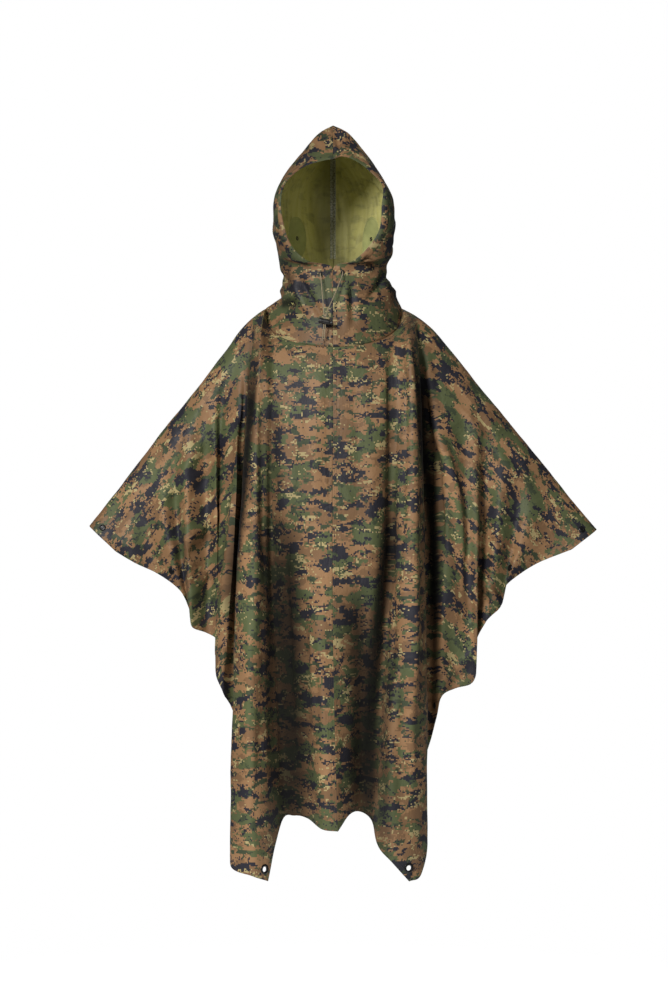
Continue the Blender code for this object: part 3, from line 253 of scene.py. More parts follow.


# Creases: the strength is the height in mm, and a negative one makes a trough, which also gets
# painted shade once it is deep.
CREASES = marks("front", "body", (
    # front of the body, left of the centre seam
    ("left_valley_head", 8.4, -6, -160, -64, -166, -113, -170, -180, -174, -242),
    ("left_chest_band", 10.5, -5, -143, -92, -145, -211, -143, -334, -137, -477, -129, -641),
    ("left_chest_ridge", 8.4, 3, -123, -109, -125, -252, -119, -395, -110, -538),
    ("left_tube_edge", 6.3, 2.5, -137, -620, -133, -763, -133, -886, -137, -988),
    ("left_hollow_deep", 21, -10, -88, -430, -86, -600, -84, -800, -80, -1040),
    ("left_hollow_fill", 11, 3.5, -119, -450, -119, -650, -117, -850, -112, -1050),
    ("left_leg_ripple", 8.4, 3.5, -176, -600, -170, -722, -174, -845, -166, -988),
    ("left_leg_trough", 6.3, -3, -155, -784, -149, -886, -158, -1009, -151, -1111),
    ("left_crinkle_a", 3.4, 1.6, -145, -804, -153, -837, -149, -866),
    ("left_crinkle_b", 3.4, -1.4, -158, -878, -145, -906, -153, -935),
    ("chest_soft_left", 18.9, 2.5, -68, -88, -76, -231, -84, -395, -88, -518),
    ("belly_cross_left", 10.5, 1.8, -100, -548, -68, -579, -31, -596),
    # centre
    ("chest_soft_mid", 14.7, 2, -23, -88, -31, -231, -35, -395),
    ("centre_left_ridge", 18.9, 5, -31, -600, -23, -763, -12, -927, -4, -1062),
    ("centre_left_dip", 16.8, -5, -68, -579, -63, -743, -59, -906, -57, -1039),
    ("centre_pleat", 5, 2.5, -46, -640, -43, -760, -40, -880),
    ("centre_pleat_dip", 4, -2.5, -36, -680, -30, -800, -26, -900),
    ("chest_soft_right", 16.8, -2.5, 39, -92, 47, -231, 55, -395, 51, -538),
    ("belly_cross_right", 10.5, -1.8, 25, -518, 55, -548, 96, -559),
    ("centre_right_dip", 21, -11, 50, -560, 60, -700, 64, -860, 60, -1040),
    # front of the body, right of the centre seam
    ("right_dark_band", 7.6, -6, 115, -88, 119, -190, 119, -354, 115, -518, 108, -661),
    ("right_ridge_inner", 6.5, 3, 127, -78, 133, -133, 137, -231, 135, -354, 131, -477, 129, -600,
     131, -702),
    ("right_gap", 6.3, -2.5, 143, -80, 147, -149, 149, -252, 145, -395, 145, -518),
    ("right_tube_in", 9, -5, 126, -380, 122, -600, 114, -860),
    ("right_ridge_second", 8.4, 6, 153, -64, 160, -119, 164, -190, 166, -282, 166, -500, 167, -700,
     160, -900),
    ("right_valley_head", 8.4, -7, 170, -72, 176, -133, 180, -201, 180, -272),
    ("right_hem_ridge", 12.6, 6, 113, -702, 119, -825, 121, -947, 113, -1070),
    ("right_leg_ripple", 8.4, 3.5, 158, -579, 164, -722, 160, -866, 166, -1009),
    ("right_leg_dip", 7.4, -3, 137, -681, 141, -804, 135, -927, 141, -1070),
    ("right_crinkle_a", 3.4, 1.8, 121, -804, 133, -829, 129, -857),
    ("right_crinkle_b", 3.4, -1.6, 137, -814, 145, -849, 133, -882),
    ("right_crinkle_c", 3.4, 1.6, 115, -876, 125, -902, 117, -927),
)) + marks("front", "wing", (
    # left wing, front
    ("left_wing_ridge", 10.5, 8, -175, -78, -181, -176, -190, -270, -200, -374, -213, -478,
     -223, -583, -232, -687),
    ("left_wing_trough", 12.6, -5, -194, -186, -209, -332, -227, -478, -248, -604),
    ("left_sleeve_a", 12.6, 4, -219, -405, -261, -441, -307, -478, -350, -512),
    ("left_sleeve_b", 12.6, -4, -225, -447, -267, -483, -311, -524),
    ("left_sleeve_c", 8.4, 4, -240, -520, -271, -556, -294, -604),
    ("left_sleeve_d", 7.4, -3.5, -232, -551, -252, -587, -271, -629),
    ("left_sleeve_e", 10.5, 3, -246, -228, -288, -301, -336, -374, -382, -426),
    ("left_sleeve_f", 10.5, -2.5, -219, -270, -257, -337, -302, -405),
    ("left_sleeve_g", 6.3, 3, -219, -687, -232, -718, -238, -754),
    ("left_sleeve_h", 6.3, -3, -211, -718, -219, -760, -213, -802),
    # right wing, front
    ("right_wing_ridge", 10.5, 9, 186, -59, 196, -103, 205, -172, 216, -255, 236, -316, 253, -387,
     263, -489, 270, -583, 282, -650),
    ("right_wing_trough", 12.6, -7, 194, -134, 202, -228, 211, -332, 223, -437, 238, -562),
    ("right_wing_second", 12.6, 4, 234, -437, 244, -541, 254, -645, 269, -739),
    ("right_wing_second_dip", 10.5, -4, 263, -478, 275, -583, 286, -656),
    ("right_crease_long", 3.2, -1.8, 292, -447, 327, -441, 373, -439, 417, -435),
    ("right_crease_lip", 3.6, 1.4, 292, -439, 327, -433, 373, -431, 417, -427),
    ("right_nick", 3, 1.8, 263, -203, 275, -214, 290, -226),
    ("right_edge_ridge", 5.5, 5, 300, -543, 321, -572, 348, -612),
    ("right_edge_dip", 5.5, -4, 290, -562, 313, -595, 332, -629),
    ("right_flap_fold", 8.4, 3.5, 298, -697, 269, -733, 236, -762, 211, -787),
    ("right_flap_low", 6.3, -3, 294, -729, 265, -762, 236, -781),
    ("right_sleeve_a", 10.5, 3, 254, -186, 302, -249, 359, -316, 415, -374),
    ("right_sleeve_b", 10.5, -2.5, 244, -239, 286, -301, 338, -364),
    ("right_sleeve_c", 8.4, -2.5, 311, -468, 359, -495, 411, -503),
    ("right_sleeve_d", 8.4, 2.5, 319, -499, 359, -524, 398, -533),
)) + marks("back", "body", (
    # back of the body
    ("back_spine_dip", 15, -5, -30, -100, -36, -300, -30, -550, -26, -800, -30, -1000),
    ("back_spine_ridge", 13, 4, 24, -80, 28, -300, 20, -600, 30, -950),
    ("back_left_valley", 9, -6, -108, -50, -114, -250, -112, -500, -106, -750, -100, -1000),
    ("back_left_ridge", 10, 5, -88, -80, -94, -300, -86, -600, -80, -900),
    ("back_left_ripple", 8, 3.5, -165, -250, -170, -500, -166, -800, -170, -1000),
    ("back_left_pull", 7, 2.5, -60, 0, -90, -60, -110, -130),
    ("back_right_valley", 9, -6, 104, -40, 98, -300, 92, -600, 85, -950),
    ("back_right_ridge", 8, 5, 128, -60, 122, -300, 118, -600, 108, -900),
    ("back_right_ripple", 9, -3, 150, -200, 155, -450, 150, -750, 148, -1020),
    ("back_right_pull", 7, -2.5, 50, 0, 75, -70, 90, -150),
    ("back_cross", 9, 2, -70, -520, -20, -545, 50, -540),
    ("back_cross_low", 8, -2, -50, -700, 0, -715, 60, -700),
)) + marks("back", "wing", (
    # wings, back
    ("back_left_wing_ridge", 10, 7, -190, -100, -205, -300, -222, -500, -240, -680),
    ("back_left_wing_dip", 11, -6, -205, -120, -228, -320, -252, -520, -262, -620),
    ("back_left_sleeve_a", 12, 4, -260, -240, -310, -330, -360, -420, -400, -480),
    ("back_left_sleeve_b", 10, -3.5, -250, -300, -290, -380, -330, -460, -350, -530),
    ("back_left_sleeve_c", 9, 3.5, -230, -420, -260, -500, -280, -580),
    ("back_right_wing_ridge", 11, 8, 196, -80, 224, -220, 256, -400, 284, -600),
    ("back_right_wing_dip", 11, -6, 206, -140, 238, -340, 270, -560, 280, -680),
    ("back_right_sleeve_a", 12, 3.5, 270, -200, 330, -290, 400, -380, 460, -450),
    ("back_right_sleeve_b", 11, -3, 260, -270, 310, -370, 370, -460, 420, -510),
    ("back_right_sleeve_c", 8, 3, 240, -400, 280, -500, 320, -580),
)) + marks("front", "hood", (
    # hood, front
    ("collar_left_trough", 5.6, -5.5, -71, 67, -56, 38, -34, 1, -23, -20),
    ("collar_left_ridge", 6.5, 5, -84, 62, -68, 23, -49, -10),
    ("collar_left_soft", 6.3, -3, -97, 95, -99, 58, -101, 17),
    ("collar_centre_trough", 5.5, -4.5, 39, 56, 41, 13, 43, -36),
    ("collar_centre_ridge", 6.3, 3.5, 27, 50, 25, 7, 29, -41),
    ("collar_right_trough", 6.3, -6, 62, 106, 78, 91, 95, 79),
    ("collar_right_pinch", 6, -6, 111, 83, 97, 56, 87, 38, 68, 17),
    ("collar_right_dark", 5.5, -4, 99, 67, 100, 42, 103, 17),
    ("collar_right_lip", 6.3, 3.5, 120, 75, 115, 48, 124, 17),
    ("collar_left_pinch", 5, -6, -113, 15, -97, 13, -74, 11),
    ("collar_left_base", 6.3, 2.5, -109, 31, -93, 27, -74, 23),
    ("apex_left", 4.6, 2.5, -14, 363, -2, 343, 10, 320),
    ("apex_middle", 4.2, -2.5, 8, 371, 10, 347, 14, 322),
    ("apex_right", 4.6, 2.2, 29, 361, 23, 341, 19, 320),
    ("brow_left", 6.3, 2.5, -39, 334, -68, 306, -93, 273, -111, 231),
    ("brow_left_dip", 5.5, -2.5, -49, 310, -74, 289, -95, 264),
    ("brow_right", 6.3, 2.5, 47, 326, 72, 297, 97, 264, 113, 223),
)) + marks("back", "hood", (
    # hood, seen from behind: the folds that show inside the face opening
    ("inside_broad_fold", 12.6, 7, -47, 334, -36, 248, -21, 173, -6, 109),
    ("inside_crease_a", 4.2, -3, 11, 269, 17, 237, 21, 199),
    ("inside_crease_b", 4.2, 3, 28, 222, 30, 173, 30, 107),
    ("inside_left_soft", 8.4, -3, -79, 291, -77, 216, -64, 141),
    ("inside_right_soft", 10.5, 3, 62, 302, 66, 227, 56, 141),
    ("nape_left", 7, -3, -90, 120, -50, 85, -10, 70),
    ("nape_right", 7, 3, 90, 140, 50, 105, 10, 95),
)) + marks("left", "hood", (
    # hood, seen from its left and right
    ("side_left_a", 7, 3, -95, 130, -50, 180, 10, 240, 70, 290),
    ("side_left_b", 7, -3, -80, 190, -30, 240, 30, 290),
    ("side_left_c", 8, -3.5, -70, 60, -10, 80, 60, 120),
    ("side_left_d", 7, 3, -50, 30, 10, 52, 70, 85),
)) + marks("right", "hood", (
    ("side_right_a", 7, 3, -90, 150, -40, 200, 20, 255, 80, 300),
    ("side_right_b", 6, -3, -85, 110, -40, 150, 20, 200),
    ("side_right_c", 8, -4, -75, 60, -15, 75, 50, 110),
    ("side_right_d", 7, 3, -60, 28, 0, 45, 65, 80),
))
# Shades: cloth that lies deep between folds, where little light comes. The strength is the share
# of the print's tone that is lost along the zone's middle. Where it is below 0, the zone is a
# ridge's lit side, and gains that share.
SHADES = marks("front", "panel", (
    ("left_valley", 12, .985, -165, -40, -168, -130, -171, -200, -176, -280, -184, -360, -193, -440,
     -202, -520, -210, -600, -215, -700),
    ("right_valley", 12, .99, 178, -70, 181, -130, 184, -200, 188, -290, 200, -390, 207, -477,
     209, -560, 208, -640, 206, -720),
    ("right_wing_lit", 17, -.32, 225, -240, 252, -360, 268, -500, 276, -640, 272, -760),
)) + marks("front", "body", (
    ("left_hollow", 40, .86, -122, -380, -115, -500, -102, -640, -93, -760, -87, -900, -79, -1140,
     -76, -1340),
    ("left_hollow_core", 18, .5, -124, -560, -114, -700, -104, -850, -99, -1120, -97, -1300),
    ("left_chest", 20, .36, -130, -150, -124, -250, -116, -400, -110, -520),
    ("right_fold", 16, .93, 130, -330, 118, -440, 103, -560, 90, -680, 82, -800, 76, -950,
     70, -1060, 66, -1280),
    ("centre_right", 36, .6, 26, -540, 42, -660, 56, -780, 58, -900, 56, -1120, 56, -1340),
    ("right_inner", 15, .45, 104, -620, 112, -760, 110, -900, 105, -1070, 102, -1280),
    ("left_tube_lit", 15, -.2, -172, -360, -171, -600, -171, -900, -172, -1160),
    ("centre_lit", 17, -.18, -18, -360, -12, -560, -7, -800, -5, -1120),
    ("right_tube_lit", 13, -.2, 160, -480, 161, -800, 162, -1100),
)) + marks("front", "hood", (
    ("collar_left", 9, .85, -112, 17, -94, 13, -76, 10),
    ("collar_right", 9, .75, 112, 66, 120, 44, 128, 22),
    ("collar_under_rim", 8, .45, 66, 95, 86, 82, 106, 78),
    ("collar_left_side", 10, .4, -100, 100, -92, 66, -80, 36),
    ("brow", 16, .35, -30, 345, -64, 312, -92, 278, -112, 230),
))
CREASE_STEPS = 28                        # points on each mark's curve
CREASE_LIFT = 1.45                       # creases are this many times as high as their rows say

# ---------------------------------------------------------------- cords, as in the part's source
CORD_DIAMETER = 0.0022
CORD_POINTS = 36
THROAT_DEPTH = ((-.098, 0.0), (-.108, 0.0), (-.1125, -.005))
EYELETS = {"left": (-.026, .072), "right": (.020, .075)}
STRANDS = {
    "left": ((-.0245, -.1160, .058), (-.0215, -.1215, .025), (-.0190, -.1275, -.004),
             (-.0182, -.1300, -.022), (-.0186, -.1300, -.036), (-.0205, -.1285, -.052),
             (-.0222, -.1275, -.068)),
    "right": ((.0150, -.1170, .056), (.0040, -.1220, .028), (-.0085, -.1275, .000),
              (-.0154, -.1300, -.022), (-.0156, -.1300, -.036), (-.0168, -.1290, -.050),
              (-.0176, -.1280, -.064)),
}
STRAND_PULL = .985                       # of the eyelet's x, where a strand turns down
ROUTE_STEPS = 40                         # of the curve between two points of a strand's route
LOCK_PLACE = (-.0145, -.1300, -.0290)
LOCK_TILT = math.radians(12)
LOCK_SLOT_SHIFT = .0024

PATCH_MIDDLE = (3.55, .742)              # row of sections, and turn, at the patch's middle
PATCH_REACH = (1.50, .058)
TAPE_ROWS = (2.0, 10.0)
TAPE_HALF_WIDTH = 0.0062


# ---------------------------------------------------------------- general helpers
def add_object(name, data):
    thing = bpy.data.objects.new(name, data)
    bpy.context.scene.collection.objects.link(thing)
    return thing


def add_faces(name, points, faces, material):
    """Smooth piece from lists of points and faces."""
    mesh = bpy.data.meshes.new(name)
    mesh.from_pydata(points, [], faces)
    mesh.materials.append(material)
    mesh.shade_smooth()
    return add_object(name, mesh)


def stand_in(thing, node=None):
    """The piece rides on the root, and replaces the node if one is named."""
    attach(thing, "root")
    if node:
        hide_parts(node)
    return thing


def running(steps, axis=0):
    """Running totals of the steps, from 0."""
    return np.insert(np.cumsum(steps, axis), 0, 0.0, axis)


def lengths_along(points, axis=0):
    """Distance of each point from the first of its line; the lines run along this axis."""
    return running(np.linalg.norm(np.diff(points, axis=axis), axis=-1), axis)


def read_at(values, lengths, wanted):
    """Values of a line at these distances along it."""
    return np.stack([np.interp(wanted, lengths, column) for column in values.T], axis=1)


def unit(vectors):
    """The vectors at length 1."""
    return vectors / np.maximum(np.linalg.norm(vectors, axis=-1, keepdims=True), 1e-12)


def through(rows, places, kink=None):
    """Catmull-Rom curves through the rows, read at an array of fractional row numbers."""
    rows = np.asarray(rows, dtype=float)
    places = np.asarray(places, dtype=float)
    last = len(rows) - 1
    start = np.clip(np.floor(places).astype(int), 0, last - 1)
    part = places - start
    first = (start == 0) | (start == (-1 if kink is None else kink))
    final = (start == last - 1) | (start + 1 == (-1 if kink is None else kink))
    one, two = rows[start], rows[start + 1]
    before, after = rows[np.maximum(start - 1, 0)], rows[np.minimum(start + 2, last)]
    if rows.ndim > 1:
        part, first, final = part[..., None], first[..., None], final[..., None]
    before = np.where(first, 2 * one - two, before)
    after = np.where(final, 2 * two - one, after)
    return 0.5 * (2 * one + (two - before) * part
                  + (2 * before - 5 * one + 4 * two - after) * part ** 2
                  + (3 * one - before - 3 * two + after) * part ** 3)


# ---------------------------------------------------------------- camera and cords
def add_camera():
    data = bpy.data.cameras.new("camera")
    data.lens = CAMERA_LENS
    data.sensor_fit = "VERTICAL"
    data.sensor_height = CAMERA_FILM
    camera = add_object("camera", data)
    camera.location = CAMERA_PLACE
    camera.rotation_euler = (math.pi / 2, 0.0, 0.0)
    bpy.context.scene.camera = camera


def add_cord(side):
    x, z = EYELETS[side]
    pulls = (1.0, 1.0, STRAND_PULL)
    route = [(x * pull, y, z + drop) for pull, (y, drop) in zip(pulls, THROAT_DEPTH)]
    route += STRANDS[side]
    last = len(route) - 1
    fine = through(route, np.linspace(0, last, ROUTE_STEPS * last + 1))
    lengths = lengths_along(fine)
    points = read_at(fine, lengths, np.linspace(0.0, lengths[-1], CORD_POINTS))
    curve = bpy.data.curves.new(f"cord_{side}", "CURVE")
    curve.dimensions = "3D"
    curve.bevel_depth = CORD_DIAMETER / 2
    curve.bevel_resolution = 4
    curve.use_fill_caps = True
    spline = curve.splines.new("POLY")
    spline.points.add(len(points) - 1)
    for target, point in zip(spline.points, points):
        target.co = (*point, 1.0)
    spline.use_smooth = True
    cord = stand_in(add_object(f"cord_{side}", curve), f"drawcord_{side}")
    return cord, points, float(lengths[-1])


add_camera()
cords = {side: add_cord(side) for side in SIDES}


# ---------------------------------------------------------------- node helpers
def add_node(tree, kind, settings=None, inputs=None):
    made = tree.nodes.new(kind)
    for name, value in (settings or {}).items():
        setattr(made, name, value)
    for name, value in (inputs or {}).items():
        socket = made.inputs[name]
        if isinstance(value, bpy.types.NodeSocket):
            tree.links.new(value, socket)
        else:
            socket.default_value = value
    return made


def new_material(name, roughness, metallic=0.0, specular=0.5, sheen=0.0):
    material = bpy.data.materials.new(name)
    material.use_nodes = True
    tree = material.node_tree
    shader = tree.nodes["Principled BSDF"]
    shader.inputs["Roughness"].default_value = roughness
    shader.inputs["Metallic"].default_value = metallic
    shader.inputs["Specular IOR Level"].default_value = specular
    shader.inputs["Sheen Weight"].default_value = sheen
    return material, tree, shader


def painted(tree, shader, colour, heights=()):
    """Links the colour and a chain of bumps: (height socket, distance in metres, strength)."""
    tree.links.new(colour, shader.inputs["Base Color"])
    normal = None
    for height, distance, strength in heights:
        inputs = {"Height": height, "Distance": distance, "Strength": strength}
        if normal is not None:
            inputs["Normal"] = normal
        normal = add_node(tree, "ShaderNodeBump", None, inputs).outputs[0]
    if normal is not None:
        tree.links.new(normal, shader.inputs["Normal"])


def math_node(tree, operation, first, second=0.0):
    return add_node(tree, "ShaderNodeMath", {"operation": operation},
                    {0: first, 1: second}).outputs[0]


def mix_colour(tree, share, one, two):
    return add_node(tree, "ShaderNodeMix", {"data_type": "RGBA"},
                    {0: share, 6: one, 7: two}).outputs[2]


def map_range(tree, value, low, high, first, last, kind="LINEAR"):
    """From first to last, while the value goes from low to high."""
    return add_node(tree, "ShaderNodeMapRange", {"interpolation_type": kind},
                    {0: value, 1: low, 2: high, 3: first, 4: last}).outputs[0]


def smooth_range(tree, value, low, high, first, last):
    return map_range(tree, value, low, high, first, last, "SMOOTHSTEP")


def attribute(tree, name):
    return add_node(tree, "ShaderNodeAttribute", {"attribute_name": name}).outputs["Fac"]


def object_place(tree):
    return add_node(tree, "ShaderNodeTexCoord").outputs["Object"]


def solid_noise(tree, place, scale, detail):
    return add_node(tree, "ShaderNodeTexNoise", None,
                    {"Vector": place, "Scale": scale, "Detail": detail}).outputs["Fac"]


def stretched(tree, vector, size, offset):
    """The vector counted in units of size (u, v), and moved by offset."""
    return add_node(tree, "ShaderNodeVectorMath", {"operation": "MULTIPLY_ADD"},
                    {0: vector, 1: (1 / size[0], 1 / size[1], 0.0),
                     2: (offset, offset * 0.618, 0.0)}).outputs[0]


def cloth_noise(tree, vector, size, offset, detail, roughness=.5, distortion=0.0):
    """Noise on the cloth, with spots of this size (u, v)."""
    return add_node(tree, "ShaderNodeTexNoise", {"noise_dimensions": "2D"},
                    {"Vector": stretched(tree, vector, size, offset), "Scale": 1.0,
                     "Detail": detail, "Roughness": roughness,
                     "Distortion": distortion}).outputs["Fac"]


def cloth_uv(tree):
    return add_node(tree, "ShaderNodeUVMap", {"uv_map": "cloth"}).outputs[0]


def cells_of(tree, uv, size):
    """The corner of the cell of this size (u, v) that each point lies in."""
    return add_node(tree, "ShaderNodeVectorMath", {"operation": "SNAP"},
                    {0: uv, 1: (*size, 1.0)}).outputs[0]


# ---------------------------------------------------------------- camouflage print
CELL = (0.0027, 0.0027)                  # one square of the print
CLUMP = (0.0081, 0.0054)                 # cells that stray from a blotch together
FINE_SHARE = 0.55                        # of the straying that each cell does alone
BROWN_LIGHT = (0.290, 0.165, 0.080, 1)
BROWN_DARK = (0.200, 0.114, 0.057, 1)
GREEN = (0.090, 0.108, 0.047, 1)
GREEN_DARK = (0.048, 0.062, 0.034, 1)
INK = (0.021, 0.021, 0.030, 1)
KHAKI = (0.400, 0.325, 0.155, 1)

# Layers of the print, laid one over the other: the blotches' size across and up, the level of
# the noise where they begin, its detail and roughness, and how far their edges fray into cells.
Layer = namedtuple("Layer", "name size start detail ragged fray colour")
LAYERS = (
    Layer("brown", (.078, .040), .500, 3.0, .60, .09, BROWN_DARK),
    Layer("green", (.072, .042), .530, 4.0, .58, .08, GREEN),
    Layer("deep", (.034, .020), .600, 3.0, .60, .10, GREEN_DARK),
    Layer("khaki", (.066, .025), .662, 4.0, .62, .15, KHAKI),
    Layer("ink", (.062, .031), .578, 4.0, .60, .10, INK),
    Layer("dots", (.045, .026), .665, 4.0, .62, .32, INK),
    Layer("grains", (.050, .028), .705, 4.0, .62, .32, KHAKI),
)


def chance(tree, uv, size, offset):
    """A chance number for each cell of this size."""
    spot = stretched(tree, cells_of(tree, uv, size), size, offset)
    return add_node(tree, "ShaderNodeTexWhiteNoise", {"noise_dimensions": "2D"},
                    {"Vector": spot}).outputs["Value"]


def camouflage(tree, uv, seed):
    """Colour of a generic pixel print: frayed blotches of green, ink and khaki on brown."""
    cells = cells_of(tree, uv, CELL)
    stray = math_node(
        tree, "ADD",
        math_node(tree, "MULTIPLY", chance(tree, uv, CELL, seed + 1.3), FINE_SHARE),
        math_node(tree, "MULTIPLY", chance(tree, uv, CLUMP, seed + 2.7), 1.0 - FINE_SHARE))
    stray = math_node(tree, "SUBTRACT", stray, .5)
    colour = BROWN_LIGHT
    for number, layer in enumerate(LAYERS):
        field = cloth_noise(tree, cells, layer.size, seed + 3.1 + 11.9 * number, layer.detail,
                            layer.ragged, .15)
        field = math_node(tree, "ADD", field, math_node(tree, "MULTIPLY", stray, layer.fray))
        colour = mix_colour(tree, math_node(tree, "GREATER_THAN", field, layer.start),
                            colour, layer.colour)
    return colour


# ---------------------------------------------------------------- cloth finishes
RIPSTOP = (.0052, .0052)                 # spacing of the thicker threads
THREAD_EDGE = .90                        # share of the spacing that lies between them
WEAVE = (.0011, .0009)                   # this and the next are sizes of spots, (u, v)
CRUMPLES = (.034, .046)
FALLS = (.013, .110)                     # long soft folds down the cloth
TONE_SPOTS = (.16, .22)                  # in which the print's tone and gloss change
GHOST_BLOTCHES = (.052, .024)            # of the print that shows through the coating
STREAKS = (.010, .120)
PATCH_SPOTS = (.02, .02)
TAPE_CELL = (.0011, .0011)
TAPE_SPECKS = (.0032, .0026)
TONE_RANGE = (.3, .7)                    # of the noise that changes the print's tone and gloss
GRAIN_RANGE = (.35, .65)                 # of the noise that mixes two close tones
HEM_STEP = .0012                         # half width of the step where a hem ends
SEAM_RIDGE = (.0055, .0080)              # beside a seam the doubled cloth thins out here
SEAM_GROOVE = .0016                      # half width of the groove at a seam
EDGE_WEAR = .0022                        # width of the worn line along a free edge
SEAM_SHADE = .0014                        # half width of the painted shade along a seam's groove
BACK_SHADE = (.012, .075)                # distances from the hood's back seam: painted shade near it, painted light away
EAR_HEIGHTS = (.10, .27)                 # where the hood's inside has its lower and upper painted tones: shade and light

COATING = (.420, .400, .140, 1)
COATING_DIM = (.200, .195, .080, 1)
COATING_PALE = (.540, .520, .240, 1)
PATCH_TONES = (.320, .345, .135, 1), (.380, .400, .160, 1)
TAPE_TONES = (.130, .140, .100, 1), (.340, .340, .240, 1)
CORD_TONES = (.130, .105, .062, 1), (.360, .300, .195, 1)


def cloth_bumps(tree, uv, fine=1.0):
    """Heights of the ripstop grid, the weave, and the crumpling of coated cloth."""
    grid = add_node(tree, "ShaderNodeVectorMath", {"operation": "FRACTION"},
                    {0: stretched(tree, uv, RIPSTOP, 0.5)}).outputs[0]
    parts = add_node(tree, "ShaderNodeSeparateXYZ", None, {0: grid}).outputs
    ripstop = math_node(tree, "MAXIMUM",
                        math_node(tree, "GREATER_THAN", parts[0], THREAD_EDGE),
                        math_node(tree, "GREATER_THAN", parts[1], THREAD_EDGE))
    weave = cloth_noise(tree, uv, WEAVE, 2.0, 1.0)
    crumple = cloth_noise(tree, uv, CRUMPLES, 5.0, 3.0, .55, .8)
    folded = math_node(tree, "ABSOLUTE", math_node(tree, "SUBTRACT", crumple, .5))
    falls = cloth_noise(tree, uv, FALLS, 8.0, 2.0, .5, .3)
    return [(falls, .0016 * fine, .55), (folded, .0042 * fine, .60), (ripstop, .00012, .5),
            (weave, .00010, .35)]


def edge_bumps(tree):
    """Heights of the folded hem along free edges and the ridges beside seams."""
    edge, seam = attribute(tree, "edge_gap"), attribute(tree, "seam_gap")
    hem = smooth_range(tree, edge, HEM_WIDTH - HEM_STEP, HEM_WIDTH + HEM_STEP, 1.0, 0.0)
    ridge = smooth_range(tree, seam, *SEAM_RIDGE, 1.0, 0.0)
    groove = smooth_range(tree, seam, 0.0, SEAM_GROOVE, 0.0, 1.0)
    return [(math_node(tree, "ADD", hem, ridge), .0005, .6), (groove, .0004, .6)]


def toned(tree, colour, value):
    return add_node(tree, "ShaderNodeHueSaturation", None,
                    {"Value": value, "Color": colour}).outputs[0]


def outer_cloth(name, seed, level=1.0):
    """Printed side. It is worn along free edges, with painted shade along the groove of each seam.
    Deep folds get painted shade and a duller gloss, and the lit sides of some ridges a painted
    highlight; level is the tone of the whole, which the hood halves lower as painted shade."""
    material, tree, shader = new_material(name, .56, 0.0, .28, .02)
    shader.inputs["Sheen Roughness"].default_value = .45
    uv = cloth_uv(tree)
    deep = attribute(tree, "trough")
    tone = cloth_noise(tree, uv, TONE_SPOTS, seed, 2.0)
    value = map_range(tree, attribute(tree, "edge_gap"), 0.0, EDGE_WEAR, .55, 1.0)
    # painted shade along seams and in deep folds, painted highlights where the trough value is
    # below 0, and random tone
    for share in (map_range(tree, attribute(tree, "seam_gap"), 0.0, SEAM_SHADE, .84, 1.0),
                  map_range(tree, deep, -1.0, 1.0, 1.98, .02),
                  map_range(tree, tone, *TONE_RANGE, .90 * level, 1.08 * level)):
        value = math_node(tree, "MULTIPLY", value, share)
    rough = math_node(tree, "ADD", map_range(tree, tone, *TONE_RANGE, .52, .62),
                      map_range(tree, deep, 0.0, .8, 0.0, .34))
    tree.links.new(rough, shader.inputs["Roughness"])
    painted(tree, shader, toned(tree, camouflage(tree, uv, seed), value),
            edge_bumps(tree) + cloth_bumps(tree, uv))
    return material


def inner_cloth(name, seed, low=1.0, high=1.0, foot=1.0, head=1.0):
    """Olive coating, with the print showing through it and faint vertical streaks. low and high
    are its painted tones beside the hood's back seam and away from it, foot and head those below
    the ears and above: painted shade below 1, and painted light above 1."""
    material, tree, shader = new_material(name, .55, 0.0, .25, .05)
    uv = cloth_uv(tree)
    ghost = cloth_noise(tree, cells_of(tree, uv, CELL), GHOST_BLOTCHES, seed + 29.3, 4.0, .6)
    streak = cloth_noise(tree, uv, STREAKS, seed + 7.0, 3.0)
    colour = mix_colour(tree, smooth_range(tree, ghost, .48, .66, 0.0, .62), COATING,
                        COATING_DIM)
    colour = mix_colour(tree, map_range(tree, streak, .35, .7, 0.0, .45), colour, COATING_PALE)
    height = add_node(tree, "ShaderNodeSeparateXYZ", None, {0: object_place(tree)}).outputs[2]
    # painted shade and painted light on the hood's inside, by the back seam and by height
    value = math_node(tree, "MULTIPLY",
                      smooth_range(tree, attribute(tree, "back_gap"), *BACK_SHADE, low, high),
                      smooth_range(tree, height, *EAR_HEIGHTS, foot, head))
    painted(tree, shader, toned(tree, colour, value),
            edge_bumps(tree) + cloth_bumps(tree, uv, .8))
    return material


def patch_cloth():
    material, tree, shader = new_material("patch_coating", .5, 0.0, .35, .05)
    uv = cloth_uv(tree)
    spots = cloth_noise(tree, uv, PATCH_SPOTS, 4.0, 4.0)
    share = map_range(tree, spots, *GRAIN_RANGE, 0.0, 1.0)
    painted(tree, shader, mix_colour(tree, share, *PATCH_TONES), cloth_bumps(tree, uv, .3))
    return material


def tape_cloth():
    material, tree, shader = new_material("seam_tape_film", .38, 0.0, .45)
    cells = cells_of(tree, cloth_uv(tree), TAPE_CELL)
    speck = cloth_noise(tree, cells, TAPE_SPECKS, 3.0, 2.0)
    share = map_range(tree, speck, .38, .62, 0.0, 1.0)
    painted(tree, shader, mix_colour(tree, share, *TAPE_TONES), [(speck, .0004, .6)])
    return material


def plain_finish(name, one, two, roughness, scale, metallic=0.0, depth=.00012):
    """Two close tones mixed by a fine grain, which also dents the surface."""
    material, tree, shader = new_material(name, roughness, metallic)
    grain = solid_noise(tree, object_place(tree), scale, 4.0)
    share = map_range(tree, grain, *GRAIN_RANGE, 0.0, 1.0)
    painted(tree, shader, mix_colour(tree, share, one, two), [(grain, depth, .5)])
    return material


